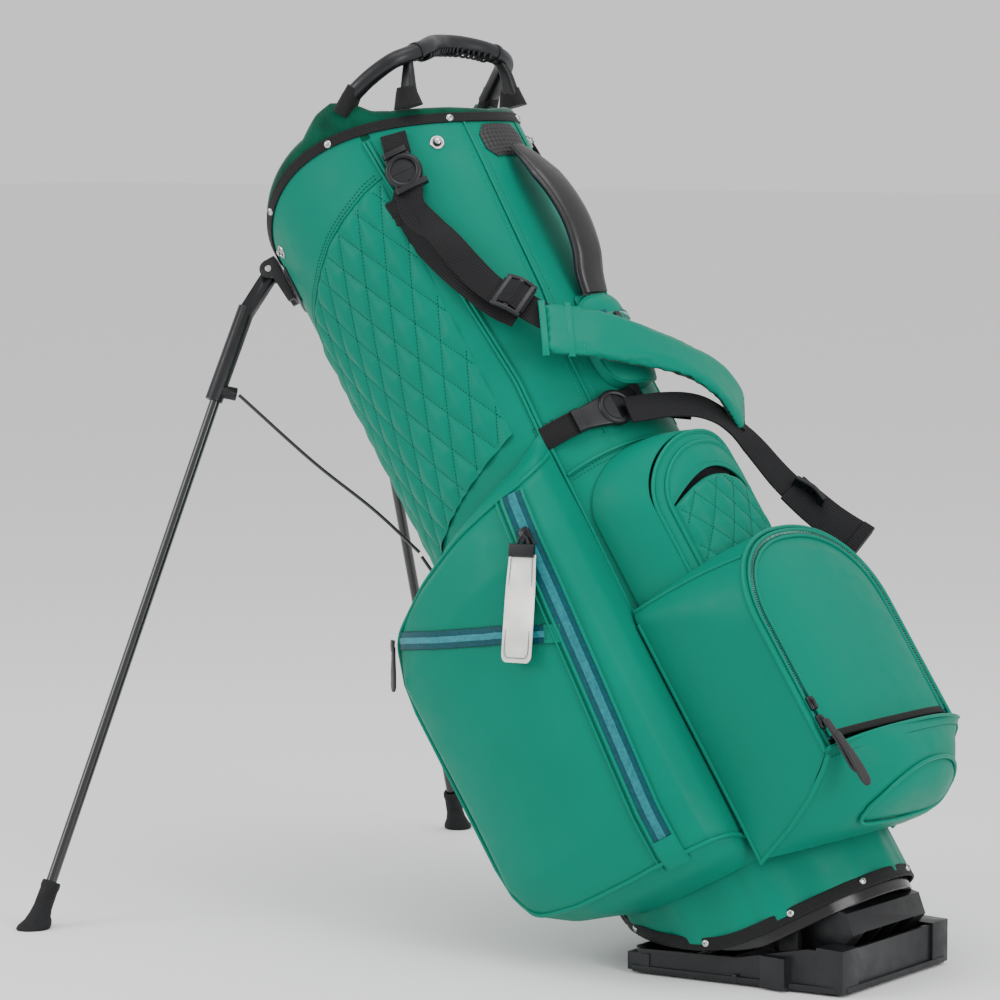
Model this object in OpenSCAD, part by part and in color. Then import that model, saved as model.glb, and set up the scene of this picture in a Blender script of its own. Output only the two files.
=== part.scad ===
// Golf stand bag: a tube of covered panels with pockets, a pivoting base foot and two folding legs.
// The row frame has +Z up and its origin on the floor, midway along the base foot.
// The bag itself is drawn upright in its own frame and then leaned back over its legs.

/* [Bag] */
// Lean of the bag over its legs
lean = 34; // [34:0.5:38]
// Length of the tube from its lower end to the highest point of the collar trim
tube_len = 790; // [760:5:820]
// Half length of the tube at the collar, leg side to spine side
top_a = 126; // [120:1:130]
// Half width of the tube at the collar
top_b = 116; // [112:1:120]
// Half length of the tube at its lower end
low_a = 123; // [118:1:126]
// Half width of the tube at its lower end
low_b = 108; // [105:1:112]
// Thickness of the covered tube wall
wall = 3; // [2.5:0.5:4]

/* [Legs] */
// Length of a leg from its pin to the floor
leg_len = 624.5; // [622:0.5:640]
// Outer radius of a leg tube
leg_r = 4.8; // [4.5:0.1:5.5]
// Height of the leg pins above the lower end of the tube
pin_z = 752; // [745:1:756]
// Distance of each leg pin from the middle plane
pin_y = 62.6; // [60:0.2:66]
// Distance of each leg's foot from the middle plane
splay = 298.2; // [280:0.2:300]

/* [Base] */
// Length of the base foot
foot_len = 190; // [180:1:200]
// Width of the base foot on the leg side
foot_w_leg = 220; // [210:1:226]
// Width of the base foot on the spine side
foot_w_spine = 157; // [150:1:165]
// Radius of the base hinge pin
hinge_r = 4; // [3.5:0.5:4.5]

/* [Pockets] */
// Depth of the apparel pockets at their fullest
pocket_depth = 80; // [70:1:84]
// Half width of the ball pocket
ball_half = 100; // [96:1:102]
// Distance of the ball pocket's front from the tube axis plane
ball_front = 173; // [168:1:176]

/* [Hidden] */

axis_x = -17;                 // the tube's centre line in the bag frame
datum_z = 28;                 // height of the bag frame's origin above the floor
hinge = [40, 0, -5];          // base hinge in the bag frame
gap = 0.5;                    // clearance between neighbouring soft pieces
steps = 48;                   // points round the tube
near = -1;                    // the near side is -Y
green = "seagreen";
black = [0.08, 0.08, 0.09];

// ---------- small helpers ----------
function lerp(a, b, t) = a + (b - a) * t;
function clamp01(t) = min(1, max(0, t));
function unit(v) = v / norm(v);
function flip(p) = [p[0], -p[1], p[2]];
function to_row(p) = [p[0] * cos(lean) - p[2] * sin(lean), p[1], p[0] * sin(lean) + p[2] * cos(lean) + datum_z];
function to_bag(p) = [p[0] * cos(lean) + (p[2] - datum_z) * sin(lean), p[1],
                      (p[2] - datum_z) * cos(lean) - p[0] * sin(lean)];

module in_bag() {
    translate([0, 0, datum_z]) rotate([0, -lean, 0]) children();
}

module both_sides() {
    children();
    mirror([0, 1, 0]) children();
}

// A skin between two grids of points; columns run right and rows run up, seen from outside.
module skin(outer, inner, wrap = false) {
    rows = len(outer);
    cols = len(outer[0]);
    n = rows * cols;
    last = wrap ? cols - 1 : cols - 2;
    pts = [for (g = [outer, inner]) for (r = g) for (p = r) p];
    function o(r, c) = r * cols + c % cols;
    function i(r, c) = n + r * cols + c % cols;
    side_faces = wrap ? [] : [for (r = [0 : rows - 2]) each [
        [o(r + 1, 0), o(r, 0), i(r, 0)], [o(r + 1, 0), i(r, 0), i(r + 1, 0)],
        [o(r, cols - 1), o(r + 1, cols - 1), i(r + 1, cols - 1)],
        [o(r, cols - 1), i(r + 1, cols - 1), i(r, cols - 1)]]];
    faces = concat(
        [for (r = [0 : rows - 2]) for (c = [0 : last]) each [
            [o(r, c), o(r + 1, c), o(r + 1, c + 1)], [o(r, c), o(r + 1, c + 1), o(r, c + 1)],
            [i(r, c), i(r + 1, c + 1), i(r + 1, c)], [i(r, c), i(r, c + 1), i(r + 1, c + 1)]]],
        [for (c = [0 : last]) each [
            [o(0, c), o(0, c + 1), i(0, c + 1)], [o(0, c), i(0, c + 1), i(0, c)],
            [o(rows - 1, c + 1), o(rows - 1, c), i(rows - 1, c)],
            [o(rows - 1, c + 1), i(rows - 1, c), i(rows - 1, c + 1)]]],
        side_faces);
    polyhedron(pts, faces);
}

// A solid through rings of points, each closed by a fan of faces at its ends.
module loft(rings) {
    rows = len(rings);
    cols = len(rings[0]);
    n = rows * cols;
    function mean(r) = [for (k = [0 : 2]) [for (p = r) p[k]] * [for (p = r) 1] / len(r)];
    function v(r, c) = r * cols + c % cols;
    pts = concat([for (r = rings) for (p = r) p], [mean(rings[0]), mean(rings[rows - 1])]);
    faces = concat(
        [for (r = [0 : rows - 2]) for (c = [0 : cols - 1]) each [
            [v(r, c), v(r + 1, c), v(r + 1, c + 1)], [v(r, c), v(r + 1, c + 1), v(r, c + 1)]]],
        [for (c = [0 : cols - 1]) [n, v(0, c), v(0, c + 1)]],
        [for (c = [0 : cols - 1]) [n + 1, v(rows - 1, c + 1), v(rows - 1, c)]]);
    polyhedron(pts, faces);
}

function path_dir(path, k) = unit(path[min(k + 1, len(path) - 1)] - path[max(k - 1, 0)]);

// A flat strip of width w and thickness t along a path; face[k] is the way its face looks at point k.
module strip(path, face, w, t) {
    loft([for (k = [0 : len(path) - 1])
        let (d = path_dir(path, k), s = unit(cross(d, face[k])), f = unit(cross(s, d)))
        [path[k] - s * w / 2 - f * t / 2, path[k] - s * w / 2 + f * t / 2,
         path[k] + s * w / 2 + f * t / 2, path[k] + s * w / 2 - f * t / 2]]);
}

// A round bar of radii r[k] along a path, flattened by the factor squash along its side axis.
module bar(path, r, sides = 10, squash = 1, ref = [0, 0, 1]) {
    loft([for (k = [0 : len(path) - 1])
        let (d = path_dir(path, k), s = unit(cross(d, ref)), f = cross(s, d))
        [for (j = [0 : sides - 1]) path[k] - s * r[k] * squash * cos(360 * j / sides)
                                           + f * r[k] * sin(360 * j / sides)]]);
}

// A true cylinder between two points.
module rod_between(p, q, r) {
    d = q - p;
    translate(p) rotate([0, acos(d[2] / norm(d)), atan2(d[1], d[0])]) cylinder(h = norm(d), r = r, $fn = 32);
}

// ---------- the tube ----------
function tube_a(z) = lerp(low_a, top_a, z / tube_len);
function tube_b(z) = lerp(low_b, top_b, z / tube_len);
// The skirt narrows on its leg side towards the hem.
function skirt_in(phi, z) = 14 * clamp01((125 - z) / 60) * clamp01(-cos(phi));
function on_tube(phi, z, off) = [
    axis_x + (tube_a(z) + off - skirt_in(phi, z)) * cos(phi),
    (tube_b(z) + off - skirt_in(phi, z) * 0.3) * sin(phi), z];
function out_of_tube(phi) = unit([cos(phi) / top_a, sin(phi) / top_b, 0]);
function angles(from, to, count) = [for (k = [0 : count]) lerp(from, to, k / count)];
around = [for (k = [0 : steps - 1]) 360 * k / steps - 180];

// The hem runs level with the floor on the leg side and square to the tube on the spine side.
function hem_at(x) = 1 + (sqrt(x * x + 900) - x) * tan(lean) / 2;
function hem_z(phi) = hem_at(axis_x + (low_a - 10 * clamp01(-cos(phi))) * cos(phi));
function trim_z(phi) = tube_len - 21.3 + 2.6 * cos(phi) - 19.3 * cos(2 * phi);
function cuff_rise(phi) = lookup(abs(phi), [[0, 11], [20, 14], [45, 15], [56, 20], [62, 35], [67, 36],
                                            [85, 17], [122, 12], [180, 12]]);

module body_shell() {
    levels = [0, 0.06, 0.12, 0.2, 0.45, 0.7, 1];
    function grid(off) = [for (t = levels) [for (phi = around)
        on_tube(phi, lerp(hem_z(phi) - 2, trim_z(phi), t), off)]];
    color(green) in_bag() skin(grid(0), grid(-wall), wrap = true);
}

// A band round the tube between two heights that vary with the angle.
module band(low, high, off_in, off_out) {
    function ring(h, off) = [for (k = [0 : steps - 1]) on_tube(around[k], h[k], off)];
    skin([ring(low, off_out), ring(high, off_out)], [ring(low, off_in), ring(high, off_in)], wrap = true);
}

module top_trim() {
    mid = [for (phi = around) trim_z(phi)];
    color(black) in_bag() band([for (z = mid) z - 5], [for (z = mid) z + 4.5], 0.4, 2.8);
}

module top_cuff() {
    function ring(f, off) = [for (phi = around) on_tube(phi, trim_z(phi) + f * cuff_rise(phi), off)];
    function lining(rise, off) = [for (phi = around) on_tube(phi, trim_z(phi) + rise, -wall - off)];
    color(green) in_bag() skin(
        [lining(-34, gap), lining(gap, gap), ring(0.06, -0.4), ring(0.45, 0.2), ring(0.82, -0.6), ring(1, -3)],
        [lining(-34, 4.5), lining(-12, 4.5), lining(0, 4.8), ring(0.45, -8), ring(0.82, -7.4), ring(1, -5)],
        wrap = true);
}

module hem_band() {
    mid = [for (phi = around) hem_z(phi)];
    color(black) in_bag() band([for (z = mid) z - 5.5], [for (z = mid) z + 5.5], 0.4, 2.6);
}

// A round-headed rivet standing out of the tube at an angle and height.
module rivet(phi, z, off, r, h) {
    p = on_tube(phi, z, off);
    d = out_of_tube(phi);
    rod_between(p, p + d * h, r);
}

module collar_rivets() {
    color("silver") in_bag() for (phi = [-168, -118, -74, -24, 24, 74, 118, 168])
        rivet(phi, trim_z(phi) - 1, 3.1, 4, 2.2);
}

module hem_rivets() {
    color("silver") in_bag() for (phi = [-128, -88, -52, -18, 18, 52, 88, 128])
        rivet(phi, hem_z(phi) + 1, 2.9, 3.6, 2);
}

hood_snap_phi = [-34, -129, 34, 129];
function snap_z(phi) = trim_z(phi) - 24;
module hood_snaps() {
    color("silver") in_bag() for (phi = hood_snap_phi) {
        rivet(phi, snap_z(phi), 0.4, 6.5, 2);
        rivet(phi, snap_z(phi), 2.2, 3, 3);
    }
}

module club_divider() {
    color([0.1, 0.1, 0.1]) in_bag() translate([axis_x, 0, 690]) {
        translate([-117, -2, 0]) cube([234, 4, 52]);
        translate([-2, -107, 0]) cube([4, 214, 52]);
    }
}

module divider_panels() {
    color([0.15, 0.15, 0.15]) in_bag() translate([axis_x, 0, 0]) {
        rotate([90, 0, 0]) translate([0, 0, -0.8]) linear_extrude(1.6)
            polygon([[113, 44], [118, 689], [-118, 689], [-112, 126], [12, 54]]);
        for (side = [0, 1]) mirror([0, side, 0]) rotate([90, 0, 90]) translate([0, 0, -0.8]) linear_extrude(1.6)
            polygon([[0.81, 62], [99, 62], [108, 689], [0.81, 689]]);
    }
}

module side_stays() {
    color("gray") in_bag() for (phi = [-38, 38, -112, 112]) {
        p = on_tube(phi, 100, -wall - 3.6);
        q = on_tube(phi, 712, -wall - 3.6);
        rod_between(p, q, 2.4);
    }
}

module quilt_panel(side) {
    cols = angles(-148, -61, 18);
    rows = [0, 0.3, 0.6, 0.85, 1];
    function low(phi) = lookup(phi, [[-148, 395], [-130, 424], [-100, 446], [-61, 474]]);
    function high(phi) = lookup(phi, [[-148, 655], [-135, 678], [-120, 694], [-100, 708], [-76, 725], [-61, 733]]);
    function grid(off) = [for (t = rows) [for (phi = cols) on_tube(phi, lerp(low(phi), high(phi), t), off)]];
    color(green) in_bag() mirror([0, side == near ? 0 : 1, 0]) skin(grid(3), grid(gap));
}
module quilt_panel_near() { quilt_panel(near); }
module quilt_panel_far() { quilt_panel(-near); }

// ---------- the top handle ----------
handle_half = [[48, -98, 811], [72, -91, 816], [94, -80, 819], [104, -62, 821], [106, -42, 826], [101, -20, 834]];
handle_path = concat(handle_half, [[98, 0, 837]], [for (k = [5 : -1 : 0]) flip(handle_half[k])]);
module top_handle() {
    color(black) in_bag() bar(handle_path, [for (p = handle_path) 8.5], 12, 0.85, [0.3, 0, 1]);
}
module handle_boots() {
    color(black) in_bag() both_sides() {
        loft([for (k = [0 : 3]) let (z = [786, 794, 803, 813][k], w = [13, 10, 7, 5][k])
            [for (j = [0 : 11]) [lerp(80, 99, k / 3) + w * 1.1 * cos(30 * j),
                                 -lerp(65, 74, k / 3) + w * 0.7 * sin(30 * j), z]]]);
    }
}

// ---------- base ----------
module base_cup() {
    function low(phi) = let (x = axis_x + low_a * cos(phi)) hem_z(phi) - lerp(4.6, 14, clamp01((x + 20) / 50));
    function ring(f, off) = [for (phi = around) on_tube(phi, f(phi), off)];
    low_f = function (phi) low(phi);
    top_f = function (phi) hem_z(phi) + 14;
    under_f = function (phi) hem_z(phi) + 11;
    color(black) in_bag() loft([ring(under_f, -wall - 3.4), ring(low_f, -wall - 3.4), ring(low_f, -wall - 0.5),
                                ring(top_f, -wall - 0.5)]);
}

block_half = 56;              // half width of the pivot block
module pivot_block() {
    color(black) in_bag() difference() {
        translate([0, block_half, 0]) rotate([90, 0, 0]) linear_extrude(2 * block_half)
            polygon([[14, 10], [8, -4], [10, -28], [24, -40], [58, -42], [84, -34], [88, -16], [78, -6], [78, 8]]);
        translate([hinge[0], 0, hinge[2]]) rotate([90, 0, 0])
            cylinder(h = 130, r = hinge_r + 0.05, center = true, $fn = 48);
        for (y = [-38, -12, 14]) translate([14, y, -46]) cube([70, 24, 31]);
    }
}

hinge_row = to_row(hinge);
foot_x0 = -foot_len / 2 - 3;
foot_x1 = foot_len / 2 - 3;
module foot_outline(inset) {
    a = foot_w_leg / 2 - inset;
    b = foot_w_spine / 2 - inset;
    x0 = foot_x0 + inset;
    x1 = foot_x1 - inset;
    polygon([[x0, -a + 10], [x0 + 10, -a], [x1 - 8, -b], [x1, -b + 8], [x1, b - 8], [x1 - 8, b], [x0 + 10, a],
             [x0, a - 10]]);
}
module base_foot() {
    // Side profile of the rim: low under the hem, higher at the spine end
    profile = [[foot_x0 - 8, 2.5], [foot_x1 + 8, 2.5], [foot_x1 + 8, 37], [60, 36], [0, 23], [foot_x0 - 8, 21]];
    color(black) difference() {
        union() {
            intersection() {
                linear_extrude(60) difference() {
                    foot_outline(0);
                    foot_outline(4);
                }
                translate([0, 130, 0]) rotate([90, 0, 0]) linear_extrude(260) polygon(profile);
            }
            translate([0, 0, 2.5]) linear_extrude(5) difference() {
                foot_outline(-4);
                foot_outline(9);
            }
            for (side = [-1, 1]) {
                translate([foot_x1 - 23, side * (foot_w_spine / 2 - 9) - 12, 2.5]) cube([26, 24, 36]);
                translate([foot_x0 - 2, side * (foot_w_leg / 2 - 11) - 11, 2.5]) cube([22, 22, 15]);
                translate([hinge_row[0] - 12, side * 81.5 - 15, 2.5]) cube([24, 30, 26]);
                translate([hinge_row[0], side * 69.5, hinge_row[2]]) rotate([90, 0, 0])
                    cylinder(h = 6, r = 9, center = true, $fn = 48);
                translate([hinge_row[0] - 9, side * 69.5 - 3, 20]) cube([18, 6, hinge_row[2] - 20]);
            }
            for (x = [-60, -2]) translate([x, -98, 2.5]) cube([4, 196, 7]);
        }
        translate(hinge_row) rotate([90, 0, 0]) cylinder(h = 180, r = hinge_r, center = true, $fn = 48);
    }
}

module foot_pads() {
    color([0.05, 0.05, 0.05]) cylinder(h = 2.5, r = 6, $fn = 32);
    color([0.05, 0.05, 0.05]) for (side = [-1, 1]) {
        translate([foot_x1 - 12, side * (foot_w_spine / 2 - 10), 0]) cylinder(h = 2.5, r = 9, $fn = 32);
        translate([foot_x0 + 12, side * (foot_w_leg / 2 - 14), 0]) cylinder(h = 2.5, r = 8, $fn = 32);
    }
}

module hinge_pin() {
    color("silver") translate(hinge_row) rotate([90, 0, 0])
        cylinder(h = 146, r = hinge_r, center = true, $fn = 48);
}

// ---------- apparel pockets ----------
pocket_cols = [-142, -139, -134, -127, -115, -103, -90, -79, -70, -64, -58, -54, -52];
pocket_rise = [0.04, 0.48, 0.93, 1.0, 0.89, 0.79, 0.72, 0.67, 0.63, 0.56, 0.38, 0.15, 0.04];
function pocket_high(phi) = lookup(phi, [[-142, 360], [-134, 388], [-125, 404], [-110, 420], [-90, 434],
                                         [-67, 446], [-52, 463]]);
function pocket_low(phi) = lookup(phi, [[-142, 116], [-134, 92], [-125, 78], [-110, 67], [-90, 60],
                                        [-67, 56], [-52, 56]]);
function pocket_edge(t) = lookup(t, [[0, 0.05], [0.03, 0.55], [0.08, 0.86], [0.18, 1], [0.8, 1], [0.92, 0.84],
                                     [0.97, 0.5], [1, 0.05]]);
function pocket_point(k, t, thin) = let (d = pocket_depth * pocket_rise[k] * pocket_edge(t))
    on_tube(pocket_cols[k], lerp(pocket_low(pocket_cols[k]), pocket_high(pocket_cols[k]), t),
            thin ? max(3.6, d + 1) - 2.2 + (d < 4 ? -0.9 : 0) : max(3.6, d + 1));
module apparel_pocket(side) {
    rows = [0, 0.03, 0.08, 0.18, 0.4, 0.6, 0.8, 0.92, 0.97, 1];
    function grid(thin) = [for (t = rows) [for (k = [0 : len(pocket_cols) - 1]) pocket_point(k, t, thin)]];
    color(green) in_bag() mirror([0, side == near ? 0 : 1, 0]) skin(grid(false), grid(true));
}
module apparel_pocket_near() { apparel_pocket(near); }
module apparel_pocket_far() { apparel_pocket(-near); }

// A point standing proud of the near pocket's face, at column position u and height share t
function pocket_face(u, t, proud) = let (k = floor(u), f = u - k, d = pocket_edge(t) * pocket_depth
    * lerp(pocket_rise[k], pocket_rise[k + 1], f), phi = lerp(pocket_cols[k], pocket_cols[k + 1], f))
    on_tube(phi, lerp(pocket_low(phi), pocket_high(phi), t), max(3.6, d + 1) + proud);

long_zip = [for (k = [0 : 8]) pocket_face(lerp(7.4, 8.2, k / 8), lerp(0.05, 0.93, k / 8), 1.8)];
long_zip_top = long_zip[8];
module apparel_zips() {
    face = [for (p = long_zip) [0.35, -1, 0]];
    color("teal") in_bag() both_sides() strip(long_zip, face, 11, 1.2);
}
module zip_slider(side) {
    p = long_zip[7] + [0.35, -1, 0] * 4.4;
    d = unit(long_zip[2] - long_zip[7]);
    color(black) in_bag() mirror([0, side == near ? 0 : 1, 0])
        strip([p - d * 8, p + d * 8], [[0.35, -1, 0], [0.35, -1, 0]], 9, 4);
}
module zip_slider_near() { zip_slider(near); }
module zip_slider_far() { zip_slider(-near); }

small_zip_t = [0.9, 0.85, 0.8, 0.755, 0.71, 0.67, 0.635, 0.608];
small_zip_line = [for (k = [0 : 7]) pocket_face(lerp(3.2, 7.6, k / 7), small_zip_t[k], 1.6)];
module small_zip() {
    color("teal") in_bag() strip(small_zip_line, [for (p = small_zip_line) [p[0] - axis_x, p[1] * 1.4, 0]], 14, 1.2);
}

// The pull hangs from the leg-side end of the small zip.
small_pull_top = small_zip_line[0] + [-2.5, -3.8, 0];
module small_zip_pull() {
    p = to_row(small_pull_top);
    color(black) translate(p) {
        rotate([90, 0, 60]) cylinder(h = 5, r = 3.5, center = true, $fn = 24);
        translate([-1.5, -3.5, -42]) cube([3, 7, 40]);
    }
}

// The tag hangs from the near zip slider.
tag_top = long_zip[7] + [0.35, -1, 0] * 10;
module hang_tag() {
    p = to_row(tag_top);
    color("ivory") translate(p) rotate([0, 0, 14]) rotate([-9, 0, 0]) {
        rotate([90, 0, 0]) cylinder(h = 3, r = 4, center = true, $fn = 24);
        translate([-13, -1.5, -104]) cube([26, 3, 94]);
        translate([-6, -1, -11]) cube([12, 2, 10]);
    }
}

// ---------- pockets on the spine side ----------
function arch(half, low, high, corner, count) = concat(
    [[-half, low]],
    [for (k = [0 : count]) [-half + corner * (1 - cos(90 * k / count)), high - corner * (1 - sin(90 * k / count))]],
    [for (k = [count : -1 : 0]) [half - corner * (1 - cos(90 * k / count)), high - corner * (1 - sin(90 * k / count))]],
    [[half, low]]);

// A plate whose outline is drawn in Y and Z and whose thickness runs along X
module plate_yz(x, t) {
    translate([x, 0, 0]) rotate([90, 0, 90]) linear_extrude(t) children();
}

function spine_x(y) = axis_x + top_a * sqrt(max(0, 1 - pow(y / top_b, 2)));
// An outline with points added every 20 mm of the like outline, so that both get the same number
function filled(o, like) = [for (k = [0 : len(o) - 1]) let (m = (k + 1) % len(o),
    n = ceil(norm(like[m] - like[k]) / 20)) for (j = [0 : n - 1]) lerp(o[k], o[m], j / n)];
side_seam_x = 66;             // where the ball pocket's side walls meet the apparel pockets
// A hollow box round a closed outline, from the tube out to a front edge
module spine_box(back, front, x_front, t) {
    function ring(o, x_f, inset) = [for (p = filled(o, back)) let (
        c = [0, lerp(o[0][1], o[floor(len(o) / 2)][1], 0.5)],
        q = p - inset * unit(p - c)) [x_f == undef ? max(spine_x(q[0]) + 1.5, side_seam_x) : x_f, q[0], q[1]]];
    skin([ring(back, undef, 0), ring(front, x_front, 0)], [ring(back, undef, t), ring(front, x_front, t)],
         wrap = true);
}

ball_back = arch(ball_half, 52, 290, 14, 3);
ball_rim = arch(ball_half - 1, 104, 286, 16, 3);
module ball_pocket() {
    color(green) in_bag() spine_box(ball_back, ball_rim, ball_front - 3, 3);
}

door_half = 84;
door_low = 108;
door_high = 280;
module ball_zip() {
    color("teal") in_bag() plate_yz(ball_front - 2.6, 2.4) difference() {
        polygon(arch(ball_half - 2, 104.5, 285, 50, 8));
        polygon(arch(door_half + 1, 104, door_high + 1, 46, 8));
    }
}
module ball_pocket_door() {
    color(green) in_bag() plate_yz(ball_front - 2, 8)
        polygon(concat([[-door_half + 4, door_low]], arch(door_half, door_low + 4, door_high, 46, 8),
                       [[door_half - 4, door_low]]));
}
// Two pulls lie over the rim of the pouch, one above the other.
module ball_zip_pulls() {
    color(black) in_bag() for (k = [0, 1])
        translate([ball_front + 10 + 4 * k, -door_half - 14.5, 120 - 14 * k]) rotate([0, -8, 0])
            translate([0, 0, -52]) cube([2.6, 13, 52]);
}

// The open pouch is deepest in the middle and closes onto the ball pocket at its sides.
module lower_pouch() {
    mid = [[118, 37], [150, 34], [178, 44], [192, 64], [196, 82], [194, 98]];
    edge = [[104, 52], [128, 62], [150, 76], [162, 88], [171, 95], [176, 99]];
    ys = [for (k = [0 : 14]) -101 + 202 * k / 14];
    function swell(y) = 1 - pow(abs(y) / 101, 2.6);
    function grid(off) = [for (k = [0 : len(mid) - 1]) [for (y = ys) let (q = lerp(edge[k], mid[k], swell(y)),
        d = unit([mid[k][0] - 120, mid[k][1] - 95])) [q[0] + d[0] * off, y, q[1] + d[1] * off]]];
    color(green) in_bag() skin(grid(0), grid(-2.5));
}

upper_back = arch(72, 294, 412, 44, 6);
upper_rim = arch(66, 296, 404, 44, 6);
module upper_pocket() {
    color(green) in_bag() spine_box(upper_back, upper_rim, 140, 3);
}
module upper_pocket_front() {
    color(green) in_bag() plate_yz(137, 7) polygon(arch(60, 300, 372, 44, 6));
}

module valuables_pocket() {
    color(green) in_bag() plate_yz(113, 13) polygon(arch(34, 472, 560, 20, 4));
}
module valuables_pull() {
    color(black) in_bag() translate([126.6, -4, 532]) cube([3, 8, 26]);
}

// ---------- straps and handles ----------
carry_path = [[119, 0, 712], [126, 0, 690], [134, 0, 660], [136, 0, 630], [131, 0, 602], [122, 0, 582],
              [119, 0, 566]];
module carry_handle() {
    color(black) in_bag() strip(carry_path, [for (p = carry_path) [p[0] - 100, 0, (p[2] - 634) * 0.7]], 34, 11);
}
module handle_patches() {
    color(black) in_bag() {
        plate_yz(109.6, 3) polygon(arch(27, 713, 744, 8, 3));
        plate_yz(109.6, 3) polygon(arch(20, 540, 555, 4, 2));
    }
}

pad_path = [[109, -84, 536], [121.5, -62, 524.5], [134, -42, 512], [144, -8, 494], [149, 30, 474], [146, 66, 450], [132, 92, 424]];
function pad_face(path) = [for (p = path) [p[0] - axis_x, p[1] * 1.2, 30]];
module shoulder_pads() {
    color(green) in_bag() {
        strip(pad_path, pad_face(pad_path), 58, 9);
        strip([for (z = [650, 600, 550, 500]) on_tube(66, z, 8.6)],
              [for (k = [0 : 3]) out_of_tube(66)], 50, 9);
    }
}

upper_route = [[66, -97, 712], [60, -101, 690], [70, -97, 656], [78, -94, 620], [86, -89, 592], [100, -82, 570],
               [110, -76, 546]];
module upper_webbing() {
    color(black) in_bag() {
        strip(upper_route, [for (p = upper_route) [p[0] - axis_x, p[1] * 1.2, 0]], 25, 2);
        strip([on_tube(48, 722, 5), on_tube(58, 690, 5), on_tube(65, 656, 5)],
              [out_of_tube(48), out_of_tube(58), out_of_tube(65)], 25, 2);
    }
}
lower_route = [[122, -34, 446], [134, -6, 440], [140, 28, 432], [138, 58, 418], [134, 84, 392], [138, 96, 352],
               [150, 108, 308], [168, 114, 272]];
module lower_webbing() {
    color(black) in_bag() strip(lower_route, [for (p = lower_route) [p[0] - axis_x - 30, p[1] * 1.1, 10]], 25, 2.4);
}
module strap_loops() {
    color(black) in_bag() {
        strip([on_tube(-49, 757, 3.6), on_tube(-51, 744, 4.4)], [out_of_tube(-49), out_of_tube(-51)], 22, 4);
        strip([on_tube(-52, 700, 4), on_tube(-52, 684, 4)], [out_of_tube(-52), out_of_tube(-52)], 16, 3);
        strip([on_tube(-50, 456, 7), on_tube(-41, 456, 7)], [out_of_tube(-50), out_of_tube(-41)], 20, 4);
        strip([on_tube(44, 748, 4), on_tube(44, 730, 4)], [out_of_tube(44), out_of_tube(44)], 24, 4);
    }
}

upper_phi = -52;
lower_phi = -20;
upper_buckle = on_tube(upper_phi, 725, 5);
lower_buckle = on_tube(lower_phi, 456, 6.5);
// A round body with a dished hole for its button, on a flat arm that follows the tube
module buckle(p, phi, arm, arm_phi) {
    d = out_of_tube(phi);
    difference() {
        union() {
            rod_between(p, p + d * 7, 15);
            strip(arm, [for (a = arm_phi) out_of_tube(a)], 24, 6);
        }
        rod_between(p + d * 3, p + d * 9, 11);
    }
}
module strap_buckles() {
    low_arm = [-38, -29, -20, -10];
    color(black) in_bag() {
        buckle(upper_buckle, upper_phi, [for (z = [741, 713]) on_tube(upper_phi, z, 8.5)], [upper_phi, upper_phi]);
        buckle(lower_buckle, lower_phi, [for (phi = low_arm) on_tube(phi, 456, 10)], low_arm);
    }
}
module button(p, phi) {
    d = out_of_tube(phi);
    rod_between(p + d * 5.2, p + d * 9.4, 10.6);
}
module upper_button() { color(black) in_bag() button(upper_buckle, upper_phi); }
module lower_button() { color("dimgray") in_bag() button(lower_buckle, lower_phi); }

module strap_sliders() {
    color(black) in_bag() {
        strip([[94, -89, 586], [106, -82, 566]], [[1, -0.9, 0.3], [1, -0.9, 0.3]], 31, 5);
        strip([[139, 100, 345], [147, 107, 320]], [[0.4, 1, 0], [0.4, 1, 0]], 31, 5);
    }
}

// ---------- legs ----------
pin = [-139.2, -pin_y, pin_z];
pin_row = to_row(pin);
foot_back = sqrt(pow(leg_len, 2) - pow(pin_row[2], 2) - pow(splay - pin_y, 2));
foot_point = to_bag([pin_row[0] - foot_back, -splay, 0]);
leg_dir = unit(foot_point - pin);
fold_out = unit([leg_dir[0], leg_dir[1], 0]);
fold_axis = unit(cross(leg_dir, [0, 0, -1]));
leg_out = unit(fold_out - leg_dir * (fold_out * leg_dir));
leg_top = pin + leg_dir * 46 + leg_out * 10;
lug_at = pin + leg_dir * 118 + leg_out * 8;
wire_lug = lug_at - leg_out * 15 + [0, 6, 0];
wire_mid = [-163, -22, 465];
wire_turn = [-146, -20, 96];
wire_end = to_bag([-103, -20, 28]);

module leg_bracket() {
    cols = angles(136, 224, 12);
    function grid(off) = [for (z = [703, 739]) [for (phi = cols) on_tube(phi, z, off)]];
    color(black) in_bag() skin(grid(3.2), grid(0.4));
}

// Two ears either side of the knuckle and the foot that ties them to the bracket; Y runs towards the tube.
clevis_depth = 9.6;
module clevis() {
    ear = concat([for (a = [0 : 15 : 180]) [-8.5 * sin(a), 8.5 * cos(a)]],
                 [[3, -36], [clevis_depth, -36], [clevis_depth, 8.5]]);
    translate(pin) rotate([0, 0, atan2(fold_axis[1], fold_axis[0])]) {
        difference() {
            for (x = [-11, 7]) translate([x, 0, 0]) rotate([90, 0, 90]) linear_extrude(4) polygon(ear);
            rotate([0, 90, 0]) cylinder(h = 40, r = 3, center = true, $fn = 32);
        }
        translate([-7, clevis_depth - 2.2, -36]) cube([14, 2.2, 44.5]);
    }
}
module leg_clevises() {
    color(black) in_bag() both_sides() clevis();
}
module leg_pins() {
    color("silver") in_bag() both_sides() rod_between(pin - fold_axis * 12, pin + fold_axis * 12, 3);
}

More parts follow.
